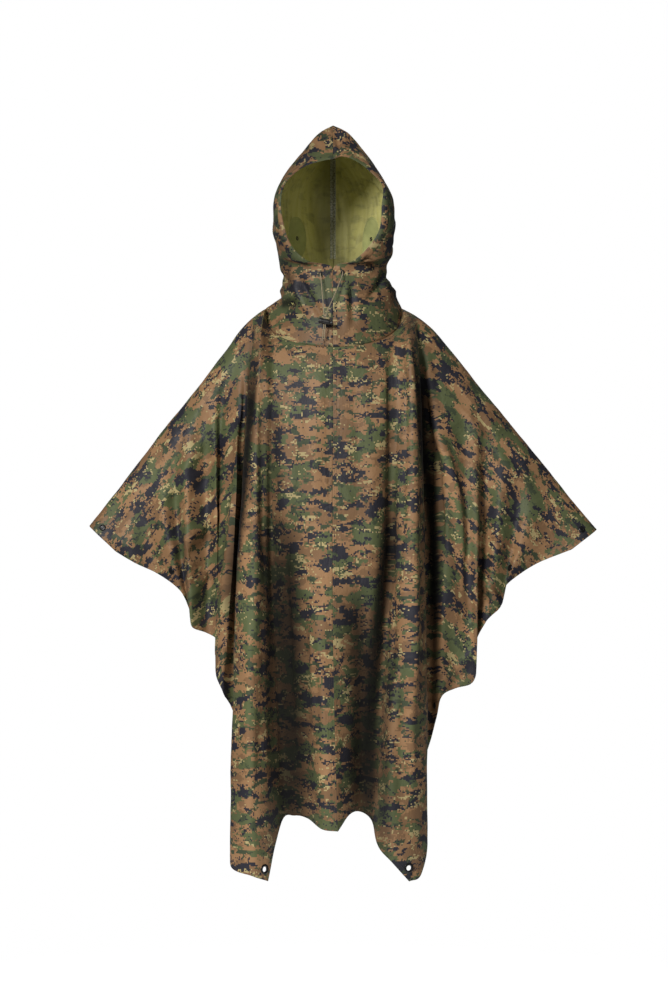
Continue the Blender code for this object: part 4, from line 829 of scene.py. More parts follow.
def braided_cord():
    material, tree, shader = new_material("braided_cord", .72, 0.0, .3, .15)
    place = object_place(tree)
    waves = []
    for slant in (-.75, .75):
        turned = add_node(tree, "ShaderNodeMapping", None,
                          {"Vector": place, "Rotation": (0.0, slant, 0.0)}).outputs[0]
        waves.append(add_node(tree, "ShaderNodeTexWave",
                              {"wave_type": "BANDS", "bands_direction": "Z"},
                              {"Vector": turned, "Scale": 420.0, "Distortion": .6,
                               "Detail": 1.0}).outputs["Fac"])
    braid = math_node(tree, "MAXIMUM", *waves)
    painted(tree, shader, mix_colour(tree, braid, *CORD_TONES), [(braid, .0003, .8)])
    return material


# ---------------------------------------------------------------- neck seam and shoulder ridge
def neck_points(side, face, turns):
    """Points of the neck seam; turn is 0 at the centre seam and 1 at the shoulder."""
    angles = np.asarray(turns) * math.pi / 2
    reach = np.maximum(np.cos(angles), 0.0)
    x = SIDE_SIGN[side] * RIDGES[side].neck_x * np.sin(angles)
    if face == "front":
        return np.stack([x, -NECK_FRONT * reach,
                         NECK_TOP - NECK_FRONT_DROP * reach ** NECK_FRONT_ARC], axis=-1)
    return np.stack([x, NECK_BACK * reach, NECK_TOP + NECK_BACK_RISE * reach], axis=-1)


def neck_directions(side, face, turns):
    """The way that the neck seam faces, and the way down across it onto the body."""
    angles = np.asarray(turns) * math.pi / 2
    depth = NECK_FRONT if face == "front" else NECK_BACK
    flat = unit(np.stack([SIDE_SIGN[side] * np.sin(angles) / RIDGES[side].neck_x,
                          FACE_SIGN[face] * np.cos(angles) / depth,
                          np.zeros_like(angles)], axis=-1))
    size = math.hypot(1.0, NECK_LEAN)
    up = np.array((0.0, 0.0, 1.0))
    return (flat + NECK_LEAN * up) / size, (NECK_LEAN * flat - up) / size


def ridge_points(side, along):
    """Points of the shoulder ridge at these distances from the neck seam."""
    ridge = RIDGES[side]
    start = np.array((ridge.neck_x, 0.0, NECK_TOP))
    bend = np.array((ridge.bend_x, 0.0, ridge.bend_z))
    end = np.array((ridge.end_x, 0.0, ridge.end_z))
    cuff = np.array((ridge.cuff_x, 0.0, ridge.cuff_z))
    bend_length = (np.linalg.norm(bend - start) + np.linalg.norm(end - bend)) * BEND_SHARE
    along = np.asarray(along, dtype=float)
    part = np.clip(along / bend_length, 0.0, 1.0)[..., None]
    curved = (1 - part) ** 2 * start + 2 * part * (1 - part) * bend + part ** 2 * end
    part = ((along - bend_length) / np.linalg.norm(cuff - end))[..., None]
    level = end + (cuff - end) * part
    point = np.where((along <= bend_length)[..., None], curved, level)
    return point * np.array((SIDE_SIGN[side], 1.0, 1.0))


# ---------------------------------------------------------------- hanging sheets
class Sheet:
    """One quarter of the poncho: the cloth of one side, in front or behind."""

    def __init__(self, side, face):
        self.side, self.face = side, face
        folds, wing = SHEETS[side, face]
        sign, front = SIDE_SIGN[side], FACE_SIGN[face]
        self.along = [fold.along for fold in folds] + [line.along for line in wing]
        chest, hip, end = [], [], []
        tops = self.tops(np.arange(len(self.along), dtype=float))
        for number, fold in enumerate(folds):
            chest.append((sign * fold.chest_x, fold.chest_y, tops[number, 2] - fold.fall))
            end.append((sign * fold.end_x, fold.end_y, fold.end_z))
            hip.append((sign * fold.hip_x, fold.hip_y, (chest[-1][2] + fold.end_z) / 2))
        for number, line in enumerate(wing):
            top = tops[len(folds) + number]
            part = number / (len(wing) - 1)
            depth = SLEEVE_DEPTH + (CUFF_DEPTH - SLEEVE_DEPTH) * part ** 2
            fall = min(SLEEVE_FALL, SLEEVE_FALL_SHARE * (top[2] - line.end_z))
            share = fall / (top[2] - line.end_z)
            foot = np.array((sign * line.end_x, line.end_y, line.end_z))
            rim = np.array((top[0] + (foot[0] - top[0]) * share, front * depth, top[2] - fall))
            chest.append(rim)
            hip.append((rim + foot) / 2 + np.array((sign * line.bow_x, line.bow_y, 0.0)))
            end.append(foot)
        self.chest, self.hip, self.end = np.array(chest), np.array(hip), np.array(end)

    def along_at(self, places):
        """Distances from the neck seam at which the fold lines with these numbers start."""
        return np.interp(places, np.arange(len(self.along)), self.along)

    def tops(self, places):
        """Where the fold lines with these numbers start."""
        turns = np.minimum(places / NECK_KEYS, 1.0)
        down = neck_directions(self.side, self.face, turns)[1]
        neck = neck_points(self.side, self.face, turns) + SEAM_GAP * down
        ridge = ridge_points(self.side, self.along_at(places))
        return np.where((places <= NECK_KEYS)[..., None], neck, ridge)

    def grid(self, places, levels):
        """Points of the outer face: a column for each place, a row for each level."""
        kink = CORNER_KEY[self.side]
        top = self.tops(places)[:, None]
        chest = through(self.chest, places)[:, None]
        hip = through(self.hip, places)[:, None]
        end = through(self.end, places, kink)[:, None]
        open_neck = np.cos(np.minimum(places / NECK_KEYS, 1.0) * math.pi / 2)
        bulge = np.stack([open_neck, np.full_like(open_neck, TOP_BULGE),
                          TOP_DROP * open_neck], axis=-1)[:, None]
        leave_top = (chest - top) * bulge
        reach = np.linalg.norm(chest - top, axis=-1, keepdims=True)
        arrive = unit(-3 * chest + 4 * hip - end) * reach
        s = np.minimum(levels, 1.0)[None, :, None]
        upper = ((2 * s ** 3 - 3 * s ** 2 + 1) * top + (s ** 3 - 2 * s ** 2 + s) * leave_top
                 + (3 * s ** 2 - 2 * s ** 3) * chest + (s ** 3 - s ** 2) * arrive)
        w = np.maximum(levels - 1.0, 0.0)[None, :, None]
        lower = chest * (1 - w) * (1 - 2 * w) + hip * 4 * w * (1 - w) + end * w * (2 * w - 1)
        return np.where((levels <= 1)[None, :, None], upper, lower)


# ---------------------------------------------------------------- measures on grids of cloth
SQUARE = ((0, 0), (0, 1), (1, 1), (1, 0))     # steps to a square's corners, in order


def squares(grid, corners=SQUARE):
    """The grid's values at the four corners of each of its squares."""
    rows, columns = grid.shape[0] - 1, grid.shape[1] - 1
    found = np.stack([grid[r:rows + r, c:columns + c] for r, c in corners], 2)
    return found.reshape(-1, 4, *grid.shape[2:])


def vertex_normals(points, quads):
    a, b, c, d = (points[quads[:, corner]] for corner in range(4))
    area = np.cross(c - a, d - b)
    normals = np.zeros_like(points)
    for corner in range(4):
        np.add.at(normals, quads[:, corner], area)
    return unit(normals)


def seam_facing(normals, on_seam):
    """Normals of points on the centre plane, turned into that plane."""
    normals = normals.copy()
    normals[on_seam, 0] = 0.0
    return unit(normals)


def smooth_step(values, low, high):
    share = np.clip((values - low) / (high - low), 0.0, 1.0)
    return share * share * (3 - 2 * share)


def distance_to(points, targets):
    """Distance from each point to the nearest of the targets."""
    tree = KDTree(len(targets))
    for index, target in enumerate(targets):
        tree.insert(target, index)
    tree.balance()
    return np.array([tree.find(point)[2] for point in points])


FREE_REACH = 0.060                       # other cloth is looked for this far from each point
FREE_START = 0.0012                      # and from this far, past the point's own faces
FREE_SHARE = 0.36                        # of the free way that a crease may take up


def over_faces(values, quads, blend):
    """The values blended over the faces round each point: "min" or "mean"."""
    corners = values[quads]
    if blend == "min":
        out, faces = values.copy(), corners.min(axis=1)
        for corner in range(4):
            np.minimum.at(out, quads[:, corner], faces)
        return out
    sums, counts = np.zeros(len(values)), np.zeros(len(values))
    faces = corners.mean(axis=1)
    for corner in range(4):
        np.add.at(sums, quads[:, corner], faces)
        np.add.at(counts, quads[:, corner], 1.0)
    return sums / np.maximum(counts, 1.0)


def free_way(points, normals, quads, way):
    """How far each point may move along its normal, so that no cloth crosses other cloth."""
    tree = BVHTree.FromPolygons(points.tolist(), quads.tolist())
    free = np.full(len(points), FREE_REACH)
    for number, (point, normal) in enumerate(zip(points, normals * way)):
        hit = tree.ray_cast(Vector(point + normal * FREE_START), Vector(normal), FREE_REACH)
        if hit[0] is not None:
            free[number] = hit[3]
    for blend in ("min", "min", "mean", "mean", "mean"):
        free = over_faces(free, quads, blend)
    return free * FREE_SHARE


def kept_apart(heights, points, normals, quads):
    return np.clip(heights, -free_way(points, normals, quads, -1.0),
                   free_way(points, normals, quads, 1.0))


# Axes across, up and in depth of each view, and the sign of depth towards the viewer.
VIEW_AXES = {"front": (0, 2, 1, -1.0), "back": (0, 2, 1, 1.0),
             "left": (1, 2, 0, -1.0), "right": (1, 2, 0, 1.0)}
CREASE_FACES = (.25, .65)                # how far a face is turned to the view, for a crease
SHADE_FACES = (-.30, .05)                # and for a shade
DARKEST_TROUGH = .70                     # share of its tone that a deep trough loses to painted shade
DARK_DEPTHS = (4, 10)                    # in mm: depths at which a trough's painted shade starts, and is darkest
MARK_REACH = 3.2                         # marks fade out within this many widths
MARK_ENDS = 1.6                          # how soon a mark is at full strength along its line


def along_line(mark, points, normals, part_weights, faces, power=2):
    """The points near a crease or a shade, and its share of its strength there."""
    across, up, depth_axis, sign = VIEW_AXES[mark.view]
    line = through(mark.points, np.linspace(0, len(mark.points) - 1, CREASE_STEPS))
    width = mark.width / 1000
    low, high = line.min(0) - MARK_REACH * width, line.max(0) + MARK_REACH * width
    flat = points[:, (across, up)]
    near = np.all((flat > low) & (flat < high), axis=1)
    near &= normals[:, depth_axis] * sign > faces[0]
    near &= part_weights[mark.part] > 0
    if mark.view in SIDES:
        near &= points[:, 0] * sign > 0
    elif mark.part == "body":
        near &= points[:, 1] * sign > 0
    here = flat[near]
    starts, steps = line[:-1], np.diff(line, axis=0)
    turn = here[:, None, :] - starts
    part_way = np.clip((turn * steps).sum(-1) / (steps ** 2).sum(-1), 0.0, 1.0)
    gaps = np.linalg.norm(turn - part_way[..., None] * steps, axis=2)
    nearest = gaps.argmin(axis=1)
    chosen = (np.arange(len(here)), nearest)
    run = (nearest + part_way[chosen]) / (CREASE_STEPS - 1)
    taper = np.minimum(1.0, np.sin(np.pi * np.clip(run, .02, .98)) * MARK_ENDS)
    facing = smooth_step(normals[near, depth_axis] * sign, *faces)
    share = np.exp(-(gaps[chosen] / width) ** power) * taper * facing
    return near, share * part_weights[mark.part][near]


def crease_heights(points, normals, part_weights):
    """Height of all the creases at each point, and its painted shade, 0 to 1, from troughs and
    shades; below 0 it is a painted highlight. part_weights gives the weight of each part."""
    heights, painted_light = np.zeros(len(points)), np.zeros(len(points))
    low, high = DARK_DEPTHS
    for crease in CREASES:
        if crease.part in part_weights:
            near, share = along_line(crease, points, normals, part_weights, CREASE_FACES)
            heights[near] += crease.strength / 1000 * share * CREASE_LIFT
            # a deep trough gets painted shade, more as it is deeper
            darkest = DARKEST_TROUGH * np.clip((-crease.strength - low) / (high - low), 0.0, 1.0)
            painted_light[near] = np.maximum(painted_light[near], darkest * share)
    for shade in SHADES:
        if shade.part in part_weights:
            near, share = along_line(shade, points, normals, part_weights, SHADE_FACES, 3)
            painted_light[near] = 1 - (1 - painted_light[near]) * (1 - shade.strength * share)
    return heights, painted_light


def ripple(points, wave, seed):
    """Smooth noise from -1 to 1 with this wavelength, at each point."""
    shift = Vector((seed, seed * 1.7, seed * 0.6))
    return np.array([noise.noise(Vector(point) / wave + shift) for point in points])


def rippled(heights, points, rows):
    """The heights with ripples added: rows of (height, wavelength, seed)."""
    for height, wave, seed in rows:
        heights = heights + height * ripple(points, wave, seed)
    return heights


# ---------------------------------------------------------------- shells of cloth
ALLOWANCE = 0.0034                       # how far a seam's turned edge stands in from the cloth
ALLOWANCE_LAP = 0.00075                  # the left half's edge reaches this far over the right's
SHARP_CLOTH = math.radians(62)


def turned_edge(normals, on_seam, side):
    """How far the inner face moves at each point, where the cloth is turned in along a seam. The
    left half's turned edge covers the right's, which isn't drawn."""
    moved = np.zeros_like(normals)
    if side == "left":
        moved[on_seam] = -normals[on_seam] * ALLOWANCE
        moved[on_seam, 0] += ALLOWANCE_LAP
    return moved


def build_mesh(name, points, quads, uvs, slots, materials, attributes):
    mesh = bpy.data.meshes.new(name)
    mesh.vertices.add(len(points))
    mesh.vertices.foreach_set("co", points.ravel())
    mesh.loops.add(4 * len(quads))
    mesh.loops.foreach_set("vertex_index", quads.ravel().astype(np.int32))
    mesh.polygons.add(len(quads))
    mesh.polygons.foreach_set("loop_start", np.arange(0, 4 * len(quads), 4, dtype=np.int32))
    mesh.polygons.foreach_set("material_index", slots.astype(np.int32))
    mesh.update(calc_edges=True)
    layer = mesh.uv_layers.new(name="cloth")
    layer.data.foreach_set("uv", uvs.reshape(-1, 2).ravel().astype(np.float32))
    for label, values in attributes.items():
        layer = mesh.attributes.new(label, "FLOAT", "POINT")
        layer.data.foreach_set("value", values.astype(np.float32))
    for material in materials:
        mesh.materials.append(material)
    mesh.validate()
    mesh.shade_smooth()
    mesh.set_sharp_from_angle(angle=SHARP_CLOTH)
    return add_object(name, mesh)


def cloth_shell(name, points, normals, quads, uvs, materials, attributes=None,
                hem_faces=slice(None), turned=0.0, thickness=THICKNESS):
    """Two faces this thickness apart, joined round every free edge. The inner side has the
    second material, but hem_faces show the first there, as the cloth is folded in: all of them,
    unless they are given. turned moves the inner face's points."""
    count = len(points)
    edges = [(corner, (corner + 1) % 4) for corner in range(4)]
    directed = np.concatenate([quads[:, edge] for edge in edges]).astype(np.int64)
    edge_uvs = np.concatenate([uvs[:, edge] for edge in edges])
    a, b = directed.T
    free = ~np.isin(a * count + b, b * count + a)
    a, b = directed[free].T
    walls = np.stack([b, a, a + count, b + count], axis=1)
    all_quads = np.concatenate([quads, quads[:, ::-1] + count, walls])
    all_uvs = np.concatenate([uvs, uvs[:, ::-1], edge_uvs[free][:, (1, 0, 0, 1)]])
    slots = np.zeros(len(all_quads), int)
    inside = slots[len(quads):2 * len(quads)]
    inside[:] = 1
    inside[hem_faces] = 0
    all_points = np.concatenate([points, points - normals * thickness + turned])
    doubled = {label: np.tile(values, 2) for label, values in (attributes or {}).items()}
    return build_mesh(name, all_points, all_quads, all_uvs, slots, materials, doubled)


# ---------------------------------------------------------------- body panels
# Columns of cloth are at places, counted in fold lines: those beside the centre seam, and then
# the number of cells between each two fold lines.
SEAM_PLACES = (0.0, .03, .08, .16, .30, .46, .64, .82)
PANEL_CELLS = (0, 7, 6, 6, 8, 6, 8, 7, 8, 6, 4, 5, 5, 6, 7, 8, 9, 9, 10, 11, 12)
# Rows of cloth are at levels: 0 at the top, 1 at the chest and 2 at the hem.
TOP_ROWS = 24
HANG_ROWS = 112
LAST_HANG = 1.993
EDGE_LEVELS = (1.9965, 1.9985, 2.0)      # closer together, for the hem
HIP_LEVEL = 1.5
WING_BLEND = (WING_KEY - .6, WING_KEY + .4)     # places between which body becomes wing
SEAM_COLUMNS = (.9, 1.0)                 # places past which the centre seam isn't near
SLOPE_SHARE = .9                         # of the fall between columns, left out of their spacing
FITTING_FLAT = (0.011, 0.034)            # the cloth is calm this near to a fitting, and wild here
NECK_FLAT = (0.0, 0.030)                 # and so near to the neck seam
PANEL_RIPPLES = (.0022, .13, 3.1), (.0011, .052, 8.4), (.0005, .022, 5.7)
PRINT_PLACE = {"front": 0.0, "back": 3.0}                    # of each face in the print, in u
WING_PRINT = (6.0, 2.0)                  # and of the wings, (u, v)
HOLE_REACH = (.012, .022)                # along and across its axis, a grommet's own cloth
HOLE_CUT = 1.15                          # faces nearer than this many radii of the hole are cut
HOLE_LIP = 1.3                           # and the cloth's edge is laid at this many


def panel_places():
    places = list(SEAM_PLACES)
    for key, cells in enumerate(PANEL_CELLS):
        places.extend(key + step / cells for step in range(cells))
    return np.array(places + [float(len(PANEL_CELLS))])


def panel_levels():
    top = np.linspace(0.0, 1.0, TOP_ROWS, endpoint=False)
    hang = np.linspace(1.0, LAST_HANG, HANG_ROWS)
    return np.concatenate([top, hang, EDGE_LEVELS])


def fitting_axes():
    """Middle and outward axis of each snap and grommet, from its CAD solid."""
    found = {}
    for name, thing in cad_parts.items():
        if name.startswith(("snap_cap", "snap_socket", "grommet", "throat_eyelet")):
            co = np.array([vertex.co for vertex in thing.data.vertices])
            axis = np.linalg.svd(co - co.mean(0), full_matrices=False)[2][2]
            outward = -1.0 if "front" in name or "throat" in name else 1.0
            if axis[1] * outward < 0:
                axis = -axis
            found[name] = ((co.min(0) + co.max(0)) / 2, axis)
    return found


fittings = fitting_axes()


def calm_round(points, kinds, reach):
    """0 beside fittings of these kinds, and 1 past their reach."""
    calm = np.ones(len(points))
    for name, (middle, _) in fittings.items():
        if name.startswith(kinds):
            gap = np.linalg.norm(points - middle, axis=1)
            calm = np.minimum(calm, smooth_step(gap, *reach))
    return calm


def wing_uv(grid, along, side):
    """Cloth distances along the ridge and away from it, for the wing's share of the print."""
    ridge = RIDGES[side]
    way = unit(np.array((SIDE_SIGN[side] * (ridge.cuff_x - ridge.end_x), 0.0,
                         ridge.cuff_z - ridge.end_z)))
    steps = np.diff(grid, axis=1)
    level = steps @ way
    down = np.sqrt(np.maximum((steps ** 2).sum(-1) - level ** 2, 0.0))
    return along[:, None] + running(level, 1), running(down, 1)


def body_uv(grid, levels):
    """Cloth distances across from the centre seam, and down from the hip's level."""
    across = np.linalg.norm(np.diff(grid, axis=0), axis=-1)
    fall = np.diff(grid[..., 2], axis=0)
    across = np.sqrt(np.maximum(across ** 2 - SLOPE_SHARE * fall ** 2, 1e-12))
    length = lengths_along(grid, 1)
    hip = int(np.argmin(np.abs(levels - HIP_LEVEL)))
    return running(across), length - length[:, [hip]] - grid[:, [hip], 2]


class Panel:
    """One body panel: front and back sheets that share the ridge, displaced by creases."""

    def __init__(self, side):
        self.side = side
        self.places, self.levels = panel_places(), panel_levels()
        columns, rows = len(self.places), len(self.levels)
        shared = self.places >= NECK_KEYS
        self.index, points, quads, uvs = {}, [], [], []
        for turn, face in enumerate(FACES):
            sheet = Sheet(side, face)
            grid = sheet.grid(self.places, self.levels)
            grid[0, :, 0] += SIDE_SIGN[side] * SEAM_GAP / 2
            number = np.arange(columns * rows).reshape(columns, rows) + turn * columns * rows
            if face == "back":
                number[shared, 0] = self.index["front"][shared, 0]
            self.index[face] = number
            points.append(grid.reshape(-1, 3))
            corners = SQUARE[::-1] if (side == "left") == (face == "front") else SQUARE
            quads.append(squares(number, corners))
            uvs.append(self.face_uvs(sheet, grid, corners))
        points, quads, self.uvs = (np.concatenate(parts) for parts in (points, quads, uvs))
        used, packed = np.unique(quads, return_inverse=True)
        self.quads = packed.reshape(quads.shape)
        lookup = np.full(len(points), -1)
        lookup[used] = np.arange(len(used))
        self.index = {face: lookup[number] for face, number in self.index.items()}
        self.points = points[used]
        self.displace()

    def face_uvs(self, sheet, grid, corners):
        u_wing, v_wing = wing_uv(grid, sheet.along_at(self.places), self.side)
        u_body, v_body = body_uv(grid, self.levels)
        sign = SIDE_SIGN[self.side]
        body = np.stack([sign * u_body + PRINT_PLACE[sheet.face], v_body], -1)
        wing = np.stack([sign * (u_wing + WING_PRINT[0]),
                         FACE_SIGN[sheet.face] * v_wing + WING_PRINT[1]], -1)
        on_wing = np.repeat(self.places[:-1] >= WING_KEY, grid.shape[1] - 1)
        return np.where(on_wing[:, None, None], squares(wing, corners), squares(body, corners))

    def displace(self):
        points, quads = self.points, self.quads
        seam, neck, edge, place_of = [], [], [], np.zeros(len(points))
        for number in self.index.values():
            place_of[number] = self.places[:, None]
            seam.append(number[0])
            neck.append(number[self.places <= NECK_KEYS, 0])
            edge += [number[:, -1], number[-1]]
        self.seam_ids, neck_ids, edge_ids = (np.unique(np.concatenate(parts))
                                             for parts in (seam, neck, edge))
        normals = seam_facing(vertex_normals(points, quads), self.seam_ids)
        neck_gap = distance_to(points, points[neck_ids])
        on_wing = smooth_step(place_of, *WING_BLEND)
        # self.depth is the painted shade of troughs and shades, and a painted highlight below 0
        height, self.depth = crease_heights(points, normals, {
            "body": 1 - on_wing, "wing": on_wing, "panel": np.ones(len(points))})
        height = rippled(height, points, PANEL_RIPPLES)
        height = kept_apart(height, points, normals, quads)
        height *= smooth_step(neck_gap, *NECK_FLAT)
        height *= calm_round(points, ("snap_cap", "grommet"), FITTING_FLAT)
        self.points = points + normals * height[:, None]
        self.edge_gap = distance_to(self.points, self.points[edge_ids])
        centre_gap = np.abs(self.points[:, 0]) + smooth_step(place_of, *SEAM_COLUMNS)
        self.seam_gap = np.minimum(centre_gap, neck_gap)
        self.cut_holes()
        self.normals = seam_facing(vertex_normals(self.points, self.quads), self.seam_ids)
        chosen = self.places <= NECK_KEYS
        for face, number in self.index.items():
            self.normals[number[chosen, 0]] = neck_directions(
                self.side, face, self.places[chosen] / NECK_KEYS)[0]

    def cut_holes(self):
        """Open the cloth under each grommet and round the hole's edge."""
        for name, (middle, axis) in fittings.items():
            if not name.startswith("grommet") or not name.endswith(self.side):
                continue
            offset = self.points - middle
            along = offset @ axis
            radial = offset - along[:, None] * axis
            radius = np.linalg.norm(radial, axis=1)
            close = (np.abs(along) < HOLE_REACH[0]) & (radius < HOLE_REACH[1])
            inside = close & (radius < GROMMET_HOLE * HOLE_CUT)
            cut = inside[self.quads].any(axis=1)
            lip = np.setdiff1d(np.unique(self.quads[cut]), np.nonzero(inside)[0])
            lip = lip[close[lip]]
            self.points[lip] += radial[lip] * (GROMMET_HOLE * HOLE_LIP / radius[lip] - 1)[:, None]
            self.quads, self.uvs = self.quads[~cut], self.uvs[~cut]

    def build(self, materials):
        hem = (self.edge_gap[self.quads] < HEM_WIDTH).all(axis=1)
        labels = {"edge_gap": self.edge_gap, "seam_gap": self.seam_gap, "trough": self.depth}
        return cloth_shell(f"panel_{self.side}", self.points, self.normals, self.quads, self.uvs,
                           materials, labels, hem,
                           turned_edge(self.normals, self.seam_ids, self.side))


# ---------------------------------------------------------------- hood halves
HOOD_CELLS = (9, 7, 10, 7, 8, 9, 9, 9, 9, 9, 9, 9)           # between the neck and the sections
HOOD_TURNS = 84                          # columns from the front to the centre back
CLOSER_ENDS = .045                       # how far the turns are drawn to the rim and the back
HOOD_NECK_FLAT = (0.0, 0.022)
EYELET_FLAT = (.006, .020)
HOOD_RIPPLES = (.0016, .085, 2.3), (.0010, .040, 6.8), (.0005, .018, 4.9)
GATHERS = (.0016, .012, 9.2)             # height, wavelength and seed of those at the chin
GATHER_STRETCH = (1.0, .35, .35)         # they are long in y and z
GATHER_LEVEL = (.09, .06)                # height above the origin of their middle, and their reach
GATHER_REACH = .03                       # from the rim
CHANNEL_PUFF = (.0014, .7)               # height, and how round it is
CHANNEL_GROOVE = (.0007, .0016)          # depth and half width, under the channel's stitches
RIM_WEAR = .0008                         # the rim's outer fold is worn less than a free edge
HOOD_LAYOUT = ((1, 2, 9.0), (0, 2, 13.0), (0, 1, 17.0))      # axes and place in the print


def hood_points(side, sections, turns):
    """Points of hood sections (rows) at these turns: 0 at the front, 1 at the centre back."""
    rim_x, rim_y, rim_z, wide_x, wide_y, wide_z, back_y, back_z = (
        sections[:, column][:, None] for column in range(8))
    rim_x = np.maximum(rim_x, 0.0)
    angle = (turns * math.pi)[None, :]
    front_x = rim_x + (wide_x - rim_x) * np.sin(angle)
    front_y = wide_y + (rim_y - wide_y) * np.cos(angle)
    front_z = rim_z + (wide_z - rim_z) * (1 - np.cos(angle))
    angle = np.clip((turns - 0.5) * math.pi, 0.0, math.pi / 2)[None, :]
    back_x = wide_x * np.maximum(np.cos(angle), 0.0) ** HOOD_TAPER
    back_y = wide_y + (back_y - wide_y) * np.sin(angle) ** HOOD_TAPER
    back_z = wide_z + (back_z - wide_z) * np.sin(angle)
    ahead = (turns <= 0.5)[None, :]
    return np.stack([SIDE_SIGN[side] * np.where(ahead, front_x, back_x),
                     np.where(ahead, front_y, back_y), np.where(ahead, front_z, back_z)], -1)


def hood_rows():
    rows = [0.0]
    for key, cells in enumerate(HOOD_CELLS):
        rows.extend(key + (step + 1) / cells for step in range(cells))
    return np.array(rows)


def spread_turns():
    """Turns from 0 to 1, closer together at the rim and at the back seam."""
    even = np.linspace(0.0, 1.0, HOOD_TURNS)
    return even - np.sin(2 * math.pi * even) * CLOSER_ENDS


def facing_uvs(points, quads):
    """The print laid on each face along the axis that the face is turned to."""
    corners = points[quads]
    facing = np.abs(np.cross(corners[:, 2] - corners[:, 0], corners[:, 3] - corners[:, 1]))
    axis = facing.argmax(axis=1)
    uvs = np.zeros((len(quads), 4, 2))
    for number, (across, up, place) in enumerate(HOOD_LAYOUT):
        chosen = axis == number
        uvs[chosen] = corners[chosen][..., (across, up)] + (place, place)
    return uvs


class Hood:
    """One half of the hood, with the drawcord's channel round the face opening."""

    def __init__(self, side):
        self.side = side
        self.rows, self.turns = hood_rows(), spread_turns()
        table = np.array([section[1:] for section in HOODS[side]])
        base = np.where((self.turns <= .5)[:, None],
                        neck_points(side, "front", np.minimum(2 * self.turns, 1.0)),
                        neck_points(side, "back", np.clip(2 - 2 * self.turns, 0.0, 1.0)))
        upper = self.rows >= 1
        first = hood_points(side, table[:1], self.turns)[0]
        low = base[None] + (first - base)[None] * self.rows[~upper][:, None, None]
        high = hood_points(side, through(table, self.rows[upper] - 1), self.turns)
        grid = np.concatenate([low, high])
        closed = np.zeros(grid.shape[:2], bool)
        closed[:, 0] = np.abs(grid[:, 0, 0]) < 1e-6
        closed[:, -1] = closed[-1] = True
        grid[closed, 0] = SIDE_SIGN[side] * SEAM_GAP / 2
        self.closed = closed.ravel()
        self.shape = grid.shape[:2]
        self.number = np.arange(closed.size).reshape(self.shape)
        self.quads = squares(self.number, SQUARE[::-1] if side == "left" else SQUARE)
        around = lengths_along(grid, 1)
        self.back_gap = (around[:, -1:] - around).ravel()
        self.points = grid.reshape(-1, 3)
        self.uvs = facing_uvs(self.points, self.quads)
        self.displace()

    def displace(self):
        points, number = self.points, self.number
        normals = seam_facing(vertex_normals(points, self.quads), self.closed)
        is_open = self.rows > OPEN_SECTION
        neck_gap = distance_to(points, points[number[0]])
        self.rim_gap = distance_to(points, points[np.append(number[is_open, 0], number[-1, 0])])
        # self.depth is the painted shade of troughs and shades, and a painted highlight below 0
        height, self.depth = crease_heights(points, normals, {"hood": np.ones(len(points))})
        height = rippled(height, points, HOOD_RIPPLES)
        middle, reach = GATHER_LEVEL
        gather = (np.exp(-(points[:, 2] - middle) ** 2 / reach ** 2)
                  * np.exp(-self.rim_gap ** 2 / GATHER_REACH ** 2))
        size, wave, seed = GATHERS
        height += size * gather * ripple(points * np.array(GATHER_STRETCH), wave, seed)
        height *= calm_round(points, "throat", EYELET_FLAT)
        height *= smooth_step(neck_gap, *HOOD_NECK_FLAT)
        in_channel = np.clip(self.rim_gap / CHANNEL_WIDTH, 0.0, 1.0)
        puff, power = CHANNEL_PUFF
        height += puff * np.sin(math.pi * in_channel) ** power
        depth, width = CHANNEL_GROOVE
        height -= depth * np.exp(-((self.rim_gap - CHANNEL_WIDTH) / width) ** 2)
        self.points = points = points + normals * height[:, None]
        sewn = np.unique(np.concatenate([number[:, -1], number[-1], number[0]]))
        self.sewn_gap = distance_to(points, points[sewn])
        front_seam = distance_to(points, points[number[~is_open, 0]])
        self.seam_gap = np.minimum(self.sewn_gap, front_seam)
        self.normals = seam_facing(vertex_normals(points, self.quads), self.closed)
        ahead = self.turns <= .5
        for face, chosen, turns in (("front", ahead, 2 * self.turns),
                                    ("back", ~ahead, 2 - 2 * self.turns)):
            self.normals[number[0, chosen]] = neck_directions(self.side, face, turns[chosen])[0]

    def inside(self, rows, turns, lift):
        """Points on the inner face at section rows and turns, lifted towards the head."""
        r = np.interp(rows, self.rows, np.arange(self.shape[0]))
        t = np.interp(turns, self.turns, np.arange(self.shape[1]))
        place = bilinear(self.points.reshape(*self.shape, 3), r, t)
        facing = unit(bilinear(self.normals.reshape(*self.shape, 3), r, t))
        return place - facing * (THICKNESS + np.asarray(lift)[..., None]), -facing

    def build(self, materials):
        folded = (self.rim_gap[self.quads] < CHANNEL_WIDTH).all(axis=1)
        labels = {"edge_gap": self.rim_gap + RIM_WEAR, "seam_gap": self.seam_gap,
                  "trough": self.depth, "back_gap": self.back_gap}
        return cloth_shell(f"hood_cloth_{self.side}", self.points, self.normals, self.quads,
                           self.uvs, materials, labels, folded,
                           turned_edge(self.normals, self.closed, self.side))


def bilinear(grid, rows, columns):
    """Values of a grid at fractional rows and columns."""
    r = np.clip(np.floor(rows).astype(int), 0, grid.shape[0] - 2)
    c = np.clip(np.floor(columns).astype(int), 0, grid.shape[1] - 2)
    a, b = (rows - r)[..., None], (columns - c)[..., None]
    return (grid[r, c] * (1 - a) * (1 - b) + grid[r + 1, c] * a * (1 - b)
            + grid[r, c + 1] * (1 - a) * b + grid[r + 1, c + 1] * a * b)


# ---------------------------------------------------------------- stitches
STITCH_PITCH = 0.0034
STITCH_SHAPE = (0.0012, 0.00032, 0.00034)     # half length, half width, height
STITCH_FACES = ((0, 1, 2), (0, 2, 3), (0, 3, 4), (0, 4, 1),
                (5, 2, 1), (5, 3, 2), (5, 4, 3), (5, 1, 4))


